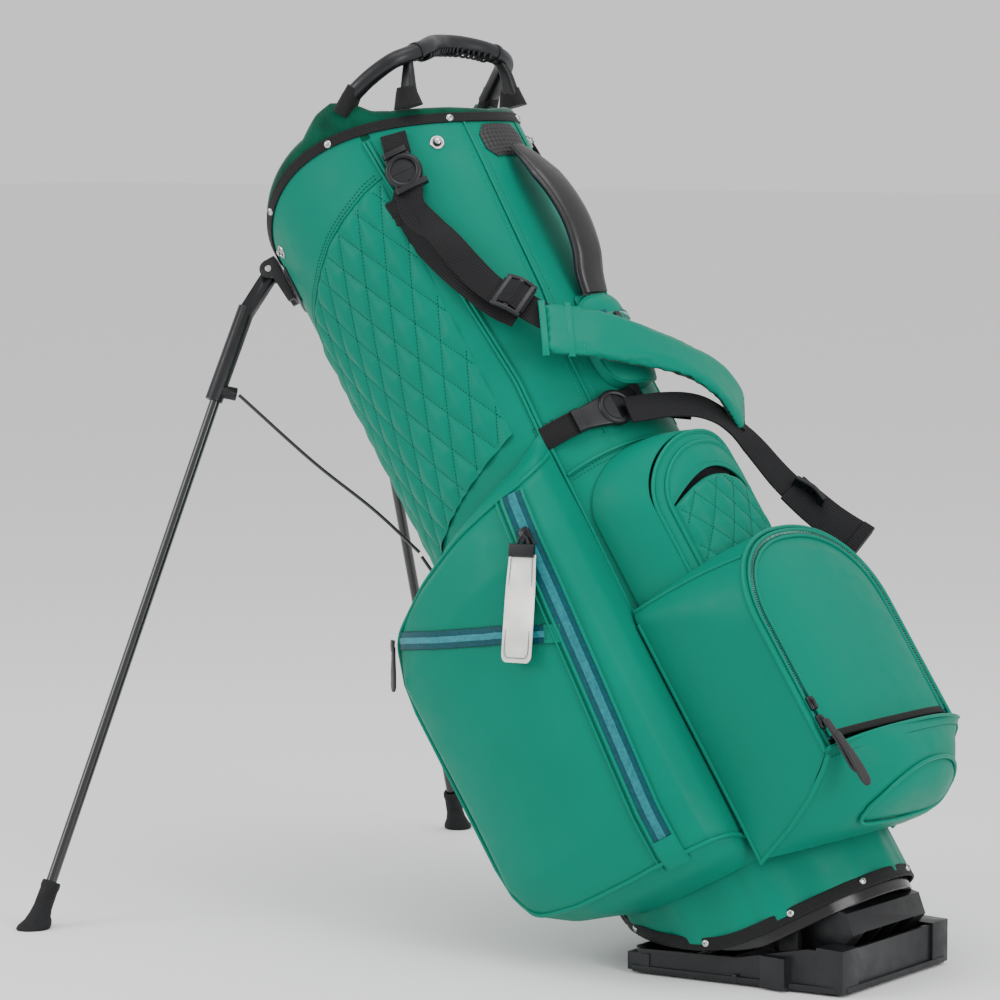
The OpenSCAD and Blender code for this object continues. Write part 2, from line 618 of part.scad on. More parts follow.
module knuckle() {
    difference() {
        union() {
            rod_between(pin - fold_axis * 6, pin + fold_axis * 6, 6.6);
            strip([pin + leg_dir * 4, pin + leg_dir * 26 + leg_out * 5, pin + leg_dir * 44 + leg_out * 9.6],
                  [for (k = [0 : 2]) leg_out], 12, 12);
            rod_between(leg_top - leg_dir * 8, leg_top + leg_dir * 82, 8);
            rod_between(lug_at - leg_out * 2, wire_lug + leg_out * 2.6, 6);
        }
        rod_between(pin - fold_axis * 9, pin + fold_axis * 9, 3.05);
        rod_between(leg_top + leg_dir * 2, leg_top + leg_dir * 90, leg_r);
    }
}
module leg_knuckle_near() { color(black) in_bag() knuckle(); }
module leg_knuckle_far() { color(black) in_bag() mirror([0, 1, 0]) knuckle(); }

leg_base = foot_point - leg_dir * 16;
module leg_tube_near() {
    color(black) in_bag() rod_between(leg_top + leg_dir * 2, leg_base, leg_r);
}
module leg_tube_far() {
    mirror([0, 1, 0]) leg_tube_near();
}
module leg_foot_near() {
    p = to_row(foot_point);
    q = to_row(foot_point - leg_dir * 13);
    up = to_row(foot_point - leg_dir * 40);
    color([0.05, 0.05, 0.05]) difference() {
        union() {
            translate([p[0], p[1], 0]) cylinder(h = 6, r = 12, $fn = 32);
            rod_between(q, up, 8);
        }
        rod_between(to_row(leg_base), to_row(leg_base - leg_dir * 60), leg_r);
    }
}
module leg_foot_far() {
    mirror([0, 1, 0]) leg_foot_near();
}

wire_upper = [wire_lug, [-190, -68, 583], [-174, -40, 520], wire_mid + [0, 0, 2.2]];
wire_lower = [wire_mid - [0, 0, 2.2], [-155, -15, 380], [-150, -14, 280], [-147, -16, 180], wire_turn,
              [-134, -20, 76], wire_end];
module wire_upper_near() { color("silver") in_bag() bar(wire_upper, [for (p = wire_upper) 1.6], 8, 1, [0, 1, 0.3]); }
module wire_upper_far() { mirror([0, 1, 0]) wire_upper_near(); }
module wire_lower_near() { color("silver") in_bag() bar(wire_lower, [for (p = wire_lower) 1.6], 8, 1, [0, 1, 0.3]); }
module wire_lower_far() { mirror([0, 1, 0]) wire_lower_near(); }

body_shell();
club_divider();
divider_panels();
side_stays();
top_cuff();
top_trim();
collar_rivets();
hood_snaps();
top_handle();
handle_boots();
quilt_panel_near();
quilt_panel_far();
hem_band();
hem_rivets();
base_cup();
pivot_block();
base_foot();
foot_pads();
hinge_pin();
apparel_pocket_near();
apparel_pocket_far();
apparel_zips();
zip_slider_near();
zip_slider_far();
small_zip();
small_zip_pull();
hang_tag();
upper_pocket();
upper_pocket_front();
valuables_pocket();
valuables_pull();
ball_pocket();
ball_pocket_door();
ball_zip();
ball_zip_pulls();
lower_pouch();
carry_handle();
handle_patches();
shoulder_pads();
upper_webbing();
lower_webbing();
strap_loops();
strap_buckles();
upper_button();
lower_button();
strap_sliders();
leg_bracket();
leg_clevises();
leg_pins();
leg_knuckle_near();
leg_knuckle_far();
leg_tube_near();
leg_tube_far();
leg_foot_near();
leg_foot_far();
wire_upper_near();
wire_upper_far();
wire_lower_near();
wire_lower_far();
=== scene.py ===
"""Golf stand bag: its looks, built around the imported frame.

Pieces are drawn in the bag's own frame in millimetres (x from the leg side to the spine side, z along the
tube) and turned into the row frame, in metres, when their mesh is made.
"""
import math

import bmesh
import bpy
import numpy as np
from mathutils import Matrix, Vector


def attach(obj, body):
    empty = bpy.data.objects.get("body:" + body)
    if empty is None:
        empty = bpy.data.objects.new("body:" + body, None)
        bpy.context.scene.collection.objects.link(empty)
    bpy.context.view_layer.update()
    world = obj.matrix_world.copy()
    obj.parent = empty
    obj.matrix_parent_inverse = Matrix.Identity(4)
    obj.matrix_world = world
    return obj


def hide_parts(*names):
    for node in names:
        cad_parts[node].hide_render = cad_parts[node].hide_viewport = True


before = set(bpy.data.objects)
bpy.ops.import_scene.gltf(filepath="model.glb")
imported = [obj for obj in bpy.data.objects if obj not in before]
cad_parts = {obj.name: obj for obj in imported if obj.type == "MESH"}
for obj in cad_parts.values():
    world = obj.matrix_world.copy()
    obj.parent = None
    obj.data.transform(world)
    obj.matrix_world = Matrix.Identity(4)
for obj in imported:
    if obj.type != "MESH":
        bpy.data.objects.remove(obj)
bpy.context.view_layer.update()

# ---------- the bag frame ----------
LEAN = math.radians(34)
DATUM = 28
AXIS_X = -17
TUBE_LEN = 790
TURN = np.array([[math.cos(LEAN), 0, math.sin(LEAN)], [0, 1, 0], [-math.sin(LEAN), 0, math.cos(LEAN)]])


def to_row(p):
    """Bag millimetres to row metres."""
    return (np.asarray(p, float) @ TURN + [0, 0, DATUM]) / 1000


def from_row(p):
    """Row metres to bag millimetres."""
    return (np.asarray(p, float) * 1000 - [0, 0, DATUM]) @ TURN.T


def flip(p):
    return np.asarray(p, float) * [1, -1, 1]


def tube(phi, z, off=0.0):
    """A point on the tube's outer surface at an angle and height, moved out by off."""
    phi, z, off = np.broadcast_arrays(np.radians(np.asarray(phi, float)), np.asarray(z, float), off)
    inward = 14 * np.clip((125 - z) / 60, 0, 1) * np.clip(-np.cos(phi), 0, 1)
    a = 123 + 3 * z / TUBE_LEN + off - inward
    b = 108 + 8 * z / TUBE_LEN + off - 0.3 * inward
    return np.stack([AXIS_X + a * np.cos(phi), b * np.sin(phi), z], -1)


def out_of(phi):
    """The outward direction of the tube at an angle."""
    phi = np.radians(np.asarray(phi, float))
    d = np.stack([np.cos(phi) / 126, np.sin(phi) / 116, 0 * phi], -1)
    return d / np.linalg.norm(d, axis=-1, keepdims=True)


def hem_z(phi):
    c = np.cos(np.radians(phi))
    x = AXIS_X + (123 - 10 * np.clip(-c, 0, 1)) * c
    return 1 + (np.sqrt(x * x + 900) - x) * math.tan(LEAN) / 2


def trim_z(phi):
    r = np.radians(phi)
    return TUBE_LEN - 21.3 + 2.6 * np.cos(r) - 19.3 * np.cos(2 * r)


def wrapped(phi):
    return (np.asarray(phi, float) + 180) % 360 - 180


def cuff_rise(phi):
    return np.interp(np.abs(wrapped(phi)), [0, 20, 45, 52, 58, 66, 74, 84, 122, 180],
                     [11, 14, 15, 18, 30, 36, 31, 18, 12, 12])


# The piping line and the spine seam down the near side, as (height, angle)
PIPING = np.array([(62, -64.4), (187, -55.7), (295, -52.2), (463, -50.6), (512, -49.6), (637, -53.8),
                   (736, -58.5), (774, -59.5)])
SPINE_SEAM = np.array([(432, -27.2), (517, -25.7), (582, -21.7), (713, -18.5), (762, -17.8)])


def piping_phi(z):
    return np.interp(z, PIPING[:, 0], PIPING[:, 1])


# ---------- mesh building ----------
def smooth_path(points, count, closed=False):
    """A Catmull-Rom curve through the points, resampled to even steps."""
    p = np.asarray(points, float)
    q = np.vstack([p[-1], p, p[0], p[1]]) if closed else np.vstack([2 * p[0] - p[1], p, 2 * p[-1] - p[-2]])
    out = []
    for k in range(1, len(q) - 2):
        t = np.linspace(0, 1, 24, endpoint=False)[:, None]
        a, b, c, d = q[k - 1:k + 3]
        out.append(0.5 * (2 * b + (c - a) * t + (2 * a - 5 * b + 4 * c - d) * t ** 2
                          + (3 * b - a - 3 * c + d) * t ** 3))
    fine = np.vstack(out + [p[:1] if closed else p[-1:]])
    return even(fine, count, closed)


def even(fine, count, closed=False):
    """The same line in even steps; a closed one leaves its last point out."""
    s = np.concatenate([[0], np.cumsum(np.linalg.norm(np.diff(fine, axis=0), axis=1))])
    at = np.linspace(0, s[-1], count + 1 if closed else count)
    res = np.stack([np.interp(at, s, fine[:, k]) for k in range(fine.shape[1])], -1)
    return res[:-1] if closed else res


def rounded(w, h, r, n=4):
    """A rounded rectangle as (side, up) points, centred on the path."""
    r = min(r, w / 2 - 1e-3, h / 2 - 1e-3)
    a = np.radians(np.concatenate([np.linspace(q, q + 90, n + 1) for q in (0, 90, 180, 270)]))
    cx = np.repeat([w / 2 - r, r - w / 2, r - w / 2, w / 2 - r], n + 1)
    cy = np.repeat([h / 2 - r, h / 2 - r, r - h / 2, r - h / 2], n + 1)
    return np.stack([cx + r * np.cos(a), cy + r * np.sin(a)], -1)


def oval(rx, ry, n=12):
    a = np.linspace(0, 2 * math.pi, n, endpoint=False)
    return np.stack([rx * np.cos(a), ry * np.sin(a)], -1)


def smear(values, times):
    """Rounds the corners of a sampled profile."""
    v = np.array(values, float)
    for _ in range(times):
        v[1:-1] = 0.25 * v[:-2] + 0.5 * v[1:-1] + 0.25 * v[2:]
    return v


class Parts:
    """Collects surfaces and makes one mesh object of them."""

    def __init__(self, row=False):
        self.row = row
        self.v, self.f, self.uv, self.n = [], [], [], 0

    def add(self, verts, faces, uvs):
        self.v.append(np.asarray(verts, float).reshape(-1, 3))
        self.f += [[i + self.n for i in face] for face in faces]
        self.uv += uvs
        self.n += len(self.v[-1])
        return self

    def grid(self, pts, wrap=False, back=False):
        """Rows of points going up and columns going right, seen from outside."""
        pts = np.asarray(pts, float)
        rows, cols = pts.shape[:2]
        du = np.linalg.norm(np.diff(pts, axis=1), axis=2).mean(0)
        dv = np.linalg.norm(np.diff(pts, axis=0), axis=2).mean(1)
        u = np.concatenate([[0], np.cumsum(du)]) / 1000
        v = np.concatenate([[0], np.cumsum(dv)]) / 1000
        u = np.append(u, u[-1] + (du[-1] if len(du) else 0) / 1000)
        faces, uvs = [], []
        for r in range(rows - 1):
            for c in range(cols if wrap else cols - 1):
                d = (c + 1) % cols
                q = [r * cols + c, r * cols + d, (r + 1) * cols + d, (r + 1) * cols + c]
                t = [(u[c], v[r]), (u[c + 1], v[r]), (u[c + 1], v[r + 1]), (u[c], v[r + 1])]
                faces.append(q[::-1] if back else q)
                uvs.append(t[::-1] if back else t)
        return self.add(pts, faces, uvs)

    def sweep(self, path, normal, profile, closed=False, scale=None):
        """A closed profile of (side, up) points carried along a path, up being the normal's way."""
        path = np.asarray(path, float)
        n = len(path)
        if closed:
            t = np.roll(path, -1, 0) - np.roll(path, 1, 0)
        else:
            t = np.gradient(path, axis=0)
        t /= np.linalg.norm(t, axis=1, keepdims=True)
        normal = np.broadcast_to(np.asarray(normal, float), path.shape)
        side = np.cross(t, normal)
        side /= np.linalg.norm(side, axis=1, keepdims=True)
        up = np.cross(side, t)
        prof = np.broadcast_to(np.asarray(profile, float), (n,) + np.shape(profile)[-2:])
        k = np.ones(n) if scale is None else np.broadcast_to(scale, n)
        pts = (path[:, None] + side[:, None] * prof[..., :1] * k[:, None, None]
               + up[:, None] * prof[..., 1:] * k[:, None, None])
        m = prof.shape[1]
        along = np.concatenate([[0], np.cumsum(np.linalg.norm(np.diff(path, axis=0), axis=1))]) / 1000
        along = np.append(along, along[-1] * (1 + 1 / n))
        ring = np.concatenate([[0], np.cumsum(np.linalg.norm(np.diff(np.vstack([prof[0], prof[0][:1]]), axis=0),
                                                             axis=1))]) / 1000
        faces, uvs = [], []
        for a in range(n if closed else n - 1):
            b = (a + 1) % n
            for c in range(m):
                d = (c + 1) % m
                faces.append([a * m + c, a * m + d, b * m + d, b * m + c])
                uvs.append([(along[a], ring[c]), (along[a], ring[c + 1]), (along[a + 1], ring[c + 1]),
                            (along[a + 1], ring[c])])
        if not closed:
            faces += [list(range(m))[::-1], [(n - 1) * m + c for c in range(m)]]
            uvs += [[(0, 0)] * m, [(0, 0)] * m]
        return self.add(pts, faces, uvs)

    def dashes(self, path, normal, pitch=4.0, length=2.7, wide=0.9, high=0.5, across=False):
        """Stitches, or teeth when across, in a row along a path."""
        path = np.asarray(path, float)
        total = np.linalg.norm(np.diff(path, axis=0), axis=1).sum()
        count = int(total / pitch)
        if count < 1:
            return self
        mids = even(path, count + 2)[1:-1]
        normal = np.broadcast_to(np.asarray(normal, float), path.shape)
        norms = even_like(path, normal, count + 2)[1:-1]
        t = even_like(path, np.gradient(path, axis=0), count + 2)[1:-1]
        for p, d, m in zip(mids, t, norms):
            d = d / np.linalg.norm(d)
            s = np.cross(d, m)
            s /= np.linalg.norm(s)
            m = np.cross(s, d)
            if across:
                d, s = s, d
            ends = [p - d * length / 2, p + d * length / 2]
            mid = [p + s * wide / 2, p + m * high, p - s * wide / 2, p - m * high * 0.6]
            faces = [[0, 2, 3], [0, 3, 4], [0, 4, 5], [0, 5, 2], [1, 3, 2], [1, 4, 3], [1, 5, 4], [1, 2, 5]]
            self.add(ends + mid, faces, [[(0, 0)] * 3] * 8)
        return self

    def lathe(self, base, axis, outline, segments=32):
        """An outline of (radius, height) points turned about an axis that starts at base."""
        axis = np.asarray(axis, float) / np.linalg.norm(axis)
        side = np.cross(axis, [0, 1, 0] if abs(axis[1]) < 0.9 else [1, 0, 0])
        side /= np.linalg.norm(side)
        other = np.cross(axis, side)
        a = np.linspace(0, 2 * math.pi, segments, endpoint=False)
        ring = side * np.cos(a)[:, None] + other * np.sin(a)[:, None]
        pts = np.array([base + ring * max(r, 1e-3) + axis * h for r, h in outline])
        return self.grid(pts, wrap=True)

    def box(self, centre, size, turn=None):
        """A block, bevelled when its object is made with bevel."""
        c = np.array([[x, y, z] for z in (-1, 1) for y in (-1, 1) for x in (-1, 1)]) * np.array(size) / 2
        if turn is not None:
            c = c @ np.asarray(turn, float)
        faces = [[0, 2, 3, 1], [4, 5, 7, 6], [0, 1, 5, 4], [2, 6, 7, 3], [0, 4, 6, 2], [1, 3, 7, 5]]
        return self.add(c + np.array(centre, float), faces, [[(0, 0), (.01, 0), (.01, .01), (0, .01)]] * 6)

    def build(self, name, close=False):
        pts = np.vstack(self.v)
        pts = pts / 1000 if self.row else to_row(pts)
        mesh = bpy.data.meshes.new(name)
        mesh.from_pydata(pts.tolist(), [], self.f)
        layer = mesh.uv_layers.new(name="UVMap")
        layer.data.foreach_set("uv", np.array([c for face in self.uv for c in face], np.float32).ravel())
        obj = bpy.data.objects.new(name, mesh)
        bpy.context.scene.collection.objects.link(obj)
        tidy_mesh(mesh, close)
        return obj

    def make(self, name, material, slot, body="bag", replaces=(), thick=0, bevel=0, crease=40, close=False):
        obj = self.build(name, close)
        if thick:
            mod = obj.modifiers.new("thickness", "SOLIDIFY")
            mod.thickness = thick / 1000
            mod.offset = -1
        if bevel:
            add_bevel(obj, bevel)
        return dress(obj, material, body, replaces, crease)


def even_like(path, values, count):
    """Values known along a path, at even steps of its length."""
    s = np.concatenate([[0], np.cumsum(np.linalg.norm(np.diff(path, axis=0), axis=1))])
    at = np.linspace(0, s[-1], count)
    return np.stack([np.interp(at, s, values[:, k]) for k in range(values.shape[1])], -1)


def tidy_mesh(mesh, close=False):
    bm = bmesh.new()
    bm.from_mesh(mesh)
    bmesh.ops.remove_doubles(bm, verts=bm.verts, dist=1e-6)
    if close:
        bmesh.ops.recalc_face_normals(bm, faces=bm.faces)
    bm.to_mesh(mesh)
    bm.free()


def add_bevel(obj, width):
    mod = obj.modifiers.new("edges", "BEVEL")
    mod.width = width / 1000
    mod.segments = 3
    mod.limit_method = "ANGLE"
    mod.angle_limit = math.radians(38)
    mod.use_clamp_overlap = True


def apply_all(obj):
    mesh = bpy.data.meshes.new_from_object(obj.evaluated_get(bpy.context.evaluated_depsgraph_get()))
    obj.modifiers.clear()
    obj.data = mesh


def dress(obj, material, body, replaces=(), crease=40):
    """Applies what shapes the piece, then gives it its finish, its body and the CAD nodes it stands for."""
    apply_all(obj)
    obj.data.shade_smooth()
    obj.data.set_sharp_from_angle(angle=math.radians(crease))
    materials = material if isinstance(material, (list, tuple)) else [material]
    obj.data.materials.clear()
    for m in materials:
        obj.data.materials.append(m)
    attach(obj, body)
    if replaces:
        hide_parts(*([replaces] if isinstance(replaces, str) else replaces))
    return obj


def moulded(node, material, body="bag", bevel=0.8):
    """A CAD node's own shape with its edges rounded off."""
    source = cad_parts[node]
    obj = bpy.data.objects.new(node + "_moulded", source.data.copy())
    bpy.context.scene.collection.objects.link(obj)
    bm = bmesh.new()
    bm.from_mesh(obj.data)
    bmesh.ops.remove_doubles(bm, verts=bm.verts, dist=2e-5)
    bmesh.ops.dissolve_limit(bm, angle_limit=math.radians(3), verts=bm.verts, edges=bm.edges)
    bm.to_mesh(obj.data)
    bm.free()
    if bevel:
        add_bevel(obj, bevel)
    return dress(obj, material, body, node, 35)


# ---------- materials ----------
def shader(name, color, rough, metal=0.0, sheen=0.0, coat=0.0, specular=0.5):
    mat = bpy.data.materials.new(name)
    mat.use_nodes = True
    bsdf = mat.node_tree.nodes["Principled BSDF"]
    bsdf.inputs["Base Color"].default_value = (*color, 1)
    bsdf.inputs["Roughness"].default_value = rough
    bsdf.inputs["Metallic"].default_value = metal
    bsdf.inputs["Sheen Weight"].default_value = sheen
    bsdf.inputs["Sheen Roughness"].default_value = 0.4
    bsdf.inputs["Coat Weight"].default_value = coat
    bsdf.inputs["Coat Roughness"].default_value = 0.25
    bsdf.inputs["Specular IOR Level"].default_value = specular
    return mat


class Nodes:
    """Short names for the shader nodes that the finishes share."""

    def __init__(self, mat):
        self.tree = mat.node_tree
        self.bsdf = self.tree.nodes["Principled BSDF"]
        self.normal = None

    def new(self, kind, **values):
        node = self.tree.nodes.new(kind)
        for key, value in values.items():
            setattr(node, key, value)
        return node

    def link(self, a, b):
        self.tree.links.new(a, b)

    def coords(self, source="Object", turn=0.0):
        at = self.new("ShaderNodeTexCoord")
        mapping = self.new("ShaderNodeMapping")
        mapping.inputs["Rotation"].default_value = (0, 0, turn)
        self.link(at.outputs[source], mapping.inputs["Vector"])
        return mapping.outputs["Vector"]

    def noise(self, scale, detail):
        node = self.new("ShaderNodeTexNoise")
        node.inputs["Scale"].default_value = scale
        node.inputs["Detail"].default_value = detail
        self.link(self.coords(), node.inputs["Vector"])
        return node.outputs["Fac"]

    def cells(self, scale):
        node = self.new("ShaderNodeTexVoronoi")
        node.inputs["Scale"].default_value = scale
        self.link(self.coords(), node.inputs["Vector"])
        return node.outputs["Distance"]

    def math(self, operation, *values):
        node = self.new("ShaderNodeMath", operation=operation)
        for k, value in enumerate(values):
            if isinstance(value, (int, float)):
                node.inputs[k].default_value = value
            else:
                self.link(value, node.inputs[k])
        return node.outputs[0]

    def spread(self, value, low, high, to_low, to_high):
        node = self.new("ShaderNodeMapRange")
        for k, v in zip(("From Min", "From Max", "To Min", "To Max"), (low, high, to_low, to_high)):
            node.inputs[k].default_value = v
        self.link(value, node.inputs["Value"])
        return node.outputs["Result"]

    def tint(self, value, dark, light):
        """Colour between two tones by a value from 0 to 1."""
        node = self.new("ShaderNodeMix", data_type="RGBA")
        self.link(value, node.inputs[0])
        node.inputs[6].default_value = (*dark, 1)
        node.inputs[7].default_value = (*light, 1)
        self.link(node.outputs[2], self.bsdf.inputs["Base Color"])

    def rough(self, value, low, high):
        self.link(self.spread(value, 0.3, 0.7, low, high), self.bsdf.inputs["Roughness"])

    def bump(self, height, strength, depth_mm):
        node = self.new("ShaderNodeBump")
        node.inputs["Strength"].default_value = strength
        node.inputs["Distance"].default_value = depth_mm / 1000
        self.link(height, node.inputs["Height"])
        if self.normal:
            self.link(self.normal, node.inputs["Normal"])
        self.normal = node.outputs["Normal"]
        self.link(self.normal, self.bsdf.inputs["Normal"])

    def weave(self, threads_per_m, slant):
        """Crossing threads along the UV map, raised where they pass over."""
        sep = self.new("ShaderNodeSeparateXYZ")
        self.link(self.coords("UV", turn=slant), sep.inputs[0])
        k = threads_per_m * math.pi
        a = self.math("SINE", self.math("MULTIPLY", sep.outputs[0], k))
        b = self.math("SINE", self.math("MULTIPLY", sep.outputs[1], k))
        return self.spread(self.math("MULTIPLY", a, b), -1, 1, 0, 1)


def scaled(color, k):
    return tuple(c * k for c in color)


def leatherette(name, color, rough=0.46):
    """Smooth coated leather cloth with a fine pebble grain and faint handling marks."""
    mat = shader(name, color, rough, specular=0.12)
    n = Nodes(mat)
    n.tint(n.spread(n.noise(7, 4), 0.3, 0.7, 0, 1), scaled(color, 0.93), scaled(color, 1.05))
    n.rough(n.noise(60, 3), rough - 0.05, rough + 0.07)
    n.bump(n.noise(16, 3), 0.18, 2.0)
    n.bump(n.cells(950), 0.10, 0.12)
    n.bump(n.noise(1700, 2), 0.10, 0.1)
    return mat


def velour(name, color, sheen=0.5):
    """Short brushed pile with patches where it lies the other way."""
    mat = shader(name, color, 0.9, sheen=sheen * 0.6, specular=0.08)
    n = Nodes(mat)
    patch = n.math("ADD", n.math("MULTIPLY", n.noise(45, 4), 0.7), n.math("MULTIPLY", n.noise(900, 2), 0.3))
    n.tint(n.spread(patch, 0.35, 0.65, 0, 1), scaled(color, 0.62), scaled(color, 1.3))
    n.bump(n.noise(1100, 3), 0.6, 0.5)
    return mat


def webbing(name, color, threads=620, light=1.9, slant=0.785):
    """Woven nylon: threads crossing on the bias with a slight shine."""
    mat = shader(name, color, 0.62, sheen=0.06, specular=0.2)
    n = Nodes(mat)
    w = n.weave(threads, slant)
    # Raised threads are tinted lighter and the hollows between them darker: painted highlight and painted shade on the
    # weave.
    n.tint(n.spread(w, 0.1, 0.9, 0, 1), scaled(color, 0.55), scaled(color, light))
    n.bump(w, 0.75, 0.5)
    return mat


def plastic(name, color, rough=0.38, grain=0.25):
    """Moulded nylon with a fine spark texture and a few rubbed spots."""
    mat = shader(name, color, rough, specular=0.38)
    n = Nodes(mat)
    n.tint(n.spread(n.noise(30, 4), 0.35, 0.7, 0, 1), scaled(color, 0.8), scaled(color, 1.35))
    n.rough(n.noise(85, 4), rough - 0.08, rough + 0.1)
    n.bump(n.noise(1300, 2), grain, 0.12)
    return mat


def metal(name, color, rough=0.18):
    mat = shader(name, color, rough, metal=1.0)
    n = Nodes(mat)
    n.rough(n.noise(160, 4), rough - 0.04, rough + 0.12)
    n.tint(n.spread(n.noise(220, 3), 0.4, 0.6, 0, 1), scaled(color, 0.85), color)
    n.bump(n.noise(420, 3), 0.08, 0.1)
    return mat


def enamel(name, color):
    """Gloss black enamel with a faint orange peel."""
    mat = shader(name, color, 0.22, coat=0.6)
    n = Nodes(mat)
    n.rough(n.noise(40, 3), 0.17, 0.3)
    n.bump(n.noise(260, 2), 0.06, 0.15)
    return mat


def hide(name, color, rough=0.34):
    """Dressed black leather: soft gloss over a fine crease pattern."""
    mat = shader(name, color, rough, specular=0.5, coat=0.1)
    n = Nodes(mat)
    n.rough(n.noise(55, 4), rough - 0.06, rough + 0.12)
    n.tint(n.spread(n.noise(25, 3), 0.3, 0.7, 0, 1), scaled(color, 0.8), scaled(color, 1.4))
    n.bump(n.cells(800), 0.22, 0.2)
    n.bump(n.noise(90, 4), 0.1, 0.6)
    return mat


def mesh_patch(name, color):
    """Black leatherette embossed with a fine diamond mesh."""
    mat = shader(name, color, 0.5, specular=0.5)
    n = Nodes(mat)
    w = n.weave(330, 0.785)
    # The raised mesh is tinted lighter and its hollows darker: painted highlight and painted shade on the embossing.
    n.tint(n.spread(w, 0.2, 0.8, 0, 1), scaled(color, 0.5), scaled(color, 2.4))
    n.bump(w, 0.9, 0.8)
    return mat


def zip_tape(name, color, shine):
    """Zip tape under a water-resistant film, ribbed across by the coil beneath."""
    mat = shader(name, color, 0.4, coat=shine * 0.2, specular=0.2)
    n = Nodes(mat)
    sep = n.new("ShaderNodeSeparateXYZ")
    n.link(n.coords("UV"), sep.inputs[0])
    ribs = n.spread(n.math("SINE", n.math("MULTIPLY", sep.outputs[0], 5200)), -1, 1, 0, 1)
    n.tint(n.spread(n.noise(300, 3), 0.3, 0.7, 0, 1), scaled(color, 0.8), scaled(color, 1.25))
    n.bump(ribs, 0.3, 0.2)
    return mat


def rubber(name, color):
    mat = shader(name, color, 0.72, specular=0.3)
    n = Nodes(mat)
    n.tint(n.spread(n.noise(120, 4), 0.3, 0.7, 0, 1), scaled(color, 0.7), scaled(color, 1.6))
    n.bump(n.noise(900, 3), 0.35, 0.2)
    return mat


GREEN = (0.0, 0.18, 0.118)
M_GREEN = leatherette("green_leatherette", GREEN)
M_PIPING = leatherette("green_piping", scaled(GREEN, 1.04), 0.4)
M_VELOUR = velour("green_velour", (0.0, 0.062, 0.034))
M_FLEECE = velour("dark_green_fleece", (0.0, 0.045, 0.025), 0.3)
M_LINING = velour("black_lining", (0.012, 0.012, 0.014), 0.25)
M_WEB = webbing("black_webbing", (0.006, 0.006, 0.007))
M_BINDING = webbing("black_binding", (0.006, 0.006, 0.0065), threads=900, light=2.2)
M_PLASTIC = plastic("black_moulding", (0.008, 0.0085, 0.01))
M_GREY = plastic("grey_button", (0.055, 0.06, 0.075), 0.42)
M_STEEL = metal("polished_steel", (0.62, 0.61, 0.6))
M_ENAMEL = enamel("black_enamel", (0.004, 0.004, 0.005))
M_HIDE = hide("black_leather", (0.004, 0.004, 0.005))
M_PATCH = mesh_patch("black_patch", (0.006, 0.006, 0.007))
M_TEAL = zip_tape("teal_zip_tape", (0.0, 0.06, 0.078), 0.4)
M_COIL = zip_tape("zip_coil", (0.01, 0.16, 0.185), 0.6)
M_TEETH = metal("zip_teeth", (0.14, 0.34, 0.28), 0.22)
M_RUBBER = rubber("black_rubber", (0.007, 0.007, 0.008))
M_TAG = hide("ivory_tag", (0.80, 0.79, 0.74), 0.5)
M_THREAD = velour("green_thread", (0.01, 0.30, 0.21), 0.2)
M_DARK_THREAD = velour("dark_thread", (0.0, 0.045, 0.03), 0.1)
M_BLACK_THREAD = velour("black_thread", (0.03, 0.03, 0.033), 0.1)

# ---------- camera, light and floor ----------
VIEW_AZ, VIEW_PITCH = math.radians(38.1), math.radians(-5.8)
cam_data = bpy.data.cameras.new("camera")
cam_data.lens = 133.4
cam_data.sensor_width = 36
cam = bpy.data.objects.new("camera", cam_data)
cam.location = (1.6976, -2.5758, 0.7069)
look = Vector((-math.sin(VIEW_AZ) * math.cos(VIEW_PITCH), math.cos(VIEW_AZ) * math.cos(VIEW_PITCH),
               math.sin(VIEW_PITCH)))
cam.rotation_euler = look.to_track_quat("-Z", "Y").to_euler()
bpy.context.scene.collection.objects.link(cam)
bpy.context.scene.camera = cam

floor_mesh = bpy.data.meshes.new("floor")
floor_mesh.from_pydata([(-30, -30, 0), (30, -30, 0), (30, 30, 0), (-30, 30, 0)], [], [(0, 1, 2, 3)])
floor = bpy.data.objects.new("floor", floor_mesh)
bpy.context.scene.collection.objects.link(floor)
floor_mesh.materials.append(shader("studio_floor", (0.93, 0.93, 0.93), 0.85, specular=0.1))

world = bpy.data.worlds.new("studio")
world.use_nodes = True
world.node_tree.nodes["Background"].inputs[0].default_value = (1, 1, 1, 1)
world.node_tree.nodes["Background"].inputs[1].default_value = 0.9
bpy.context.scene.world = world


def softbox(name, place, target, size, power):
    data = bpy.data.lights.new(name, "AREA")
    data.shape = "RECTANGLE"
    data.size, data.size_y = size
    data.energy = power
    light = bpy.data.objects.new(name, data)
    light.location = place
    light.rotation_euler = (Vector(target) - Vector(place)).to_track_quat("-Z", "Y").to_euler()
    bpy.context.scene.collection.objects.link(light)


softbox("key_left", (-1.6, -2.2, 1.5), (-0.1, 0, 0.4), (1.2, 1.6), 30)
softbox("key_right", (2.4, -0.4, 1.3), (0, 0, 0.4), (1.0, 1.6), 34)
softbox("top", (0.2, -0.3, 2.6), (-0.1, 0, 0.4), (1.6, 1.6), 26)

# ---------- the tube ----------
AROUND = np.linspace(-180, 180, 241)[:-1]
ARC_PHI = np.linspace(-180, 180, 1441)
ARC_LEN = np.concatenate([[0], np.cumsum(np.linalg.norm(np.diff(tube(ARC_PHI, 560), axis=0), axis=1))])
ARC_LEN -= np.interp(0, ARC_PHI, ARC_LEN)


def arc(phi):
    """Distance round the tube from the spine's middle, in millimetres."""
    return np.interp(phi, ARC_PHI, ARC_LEN)


def phi_at(s):
    return np.interp(s, ARC_LEN, ARC_PHI)


def hollow(d, width, deep):
    """A seam's groove, by distance from it."""
    return -deep * np.exp(-(d / width) ** 2)


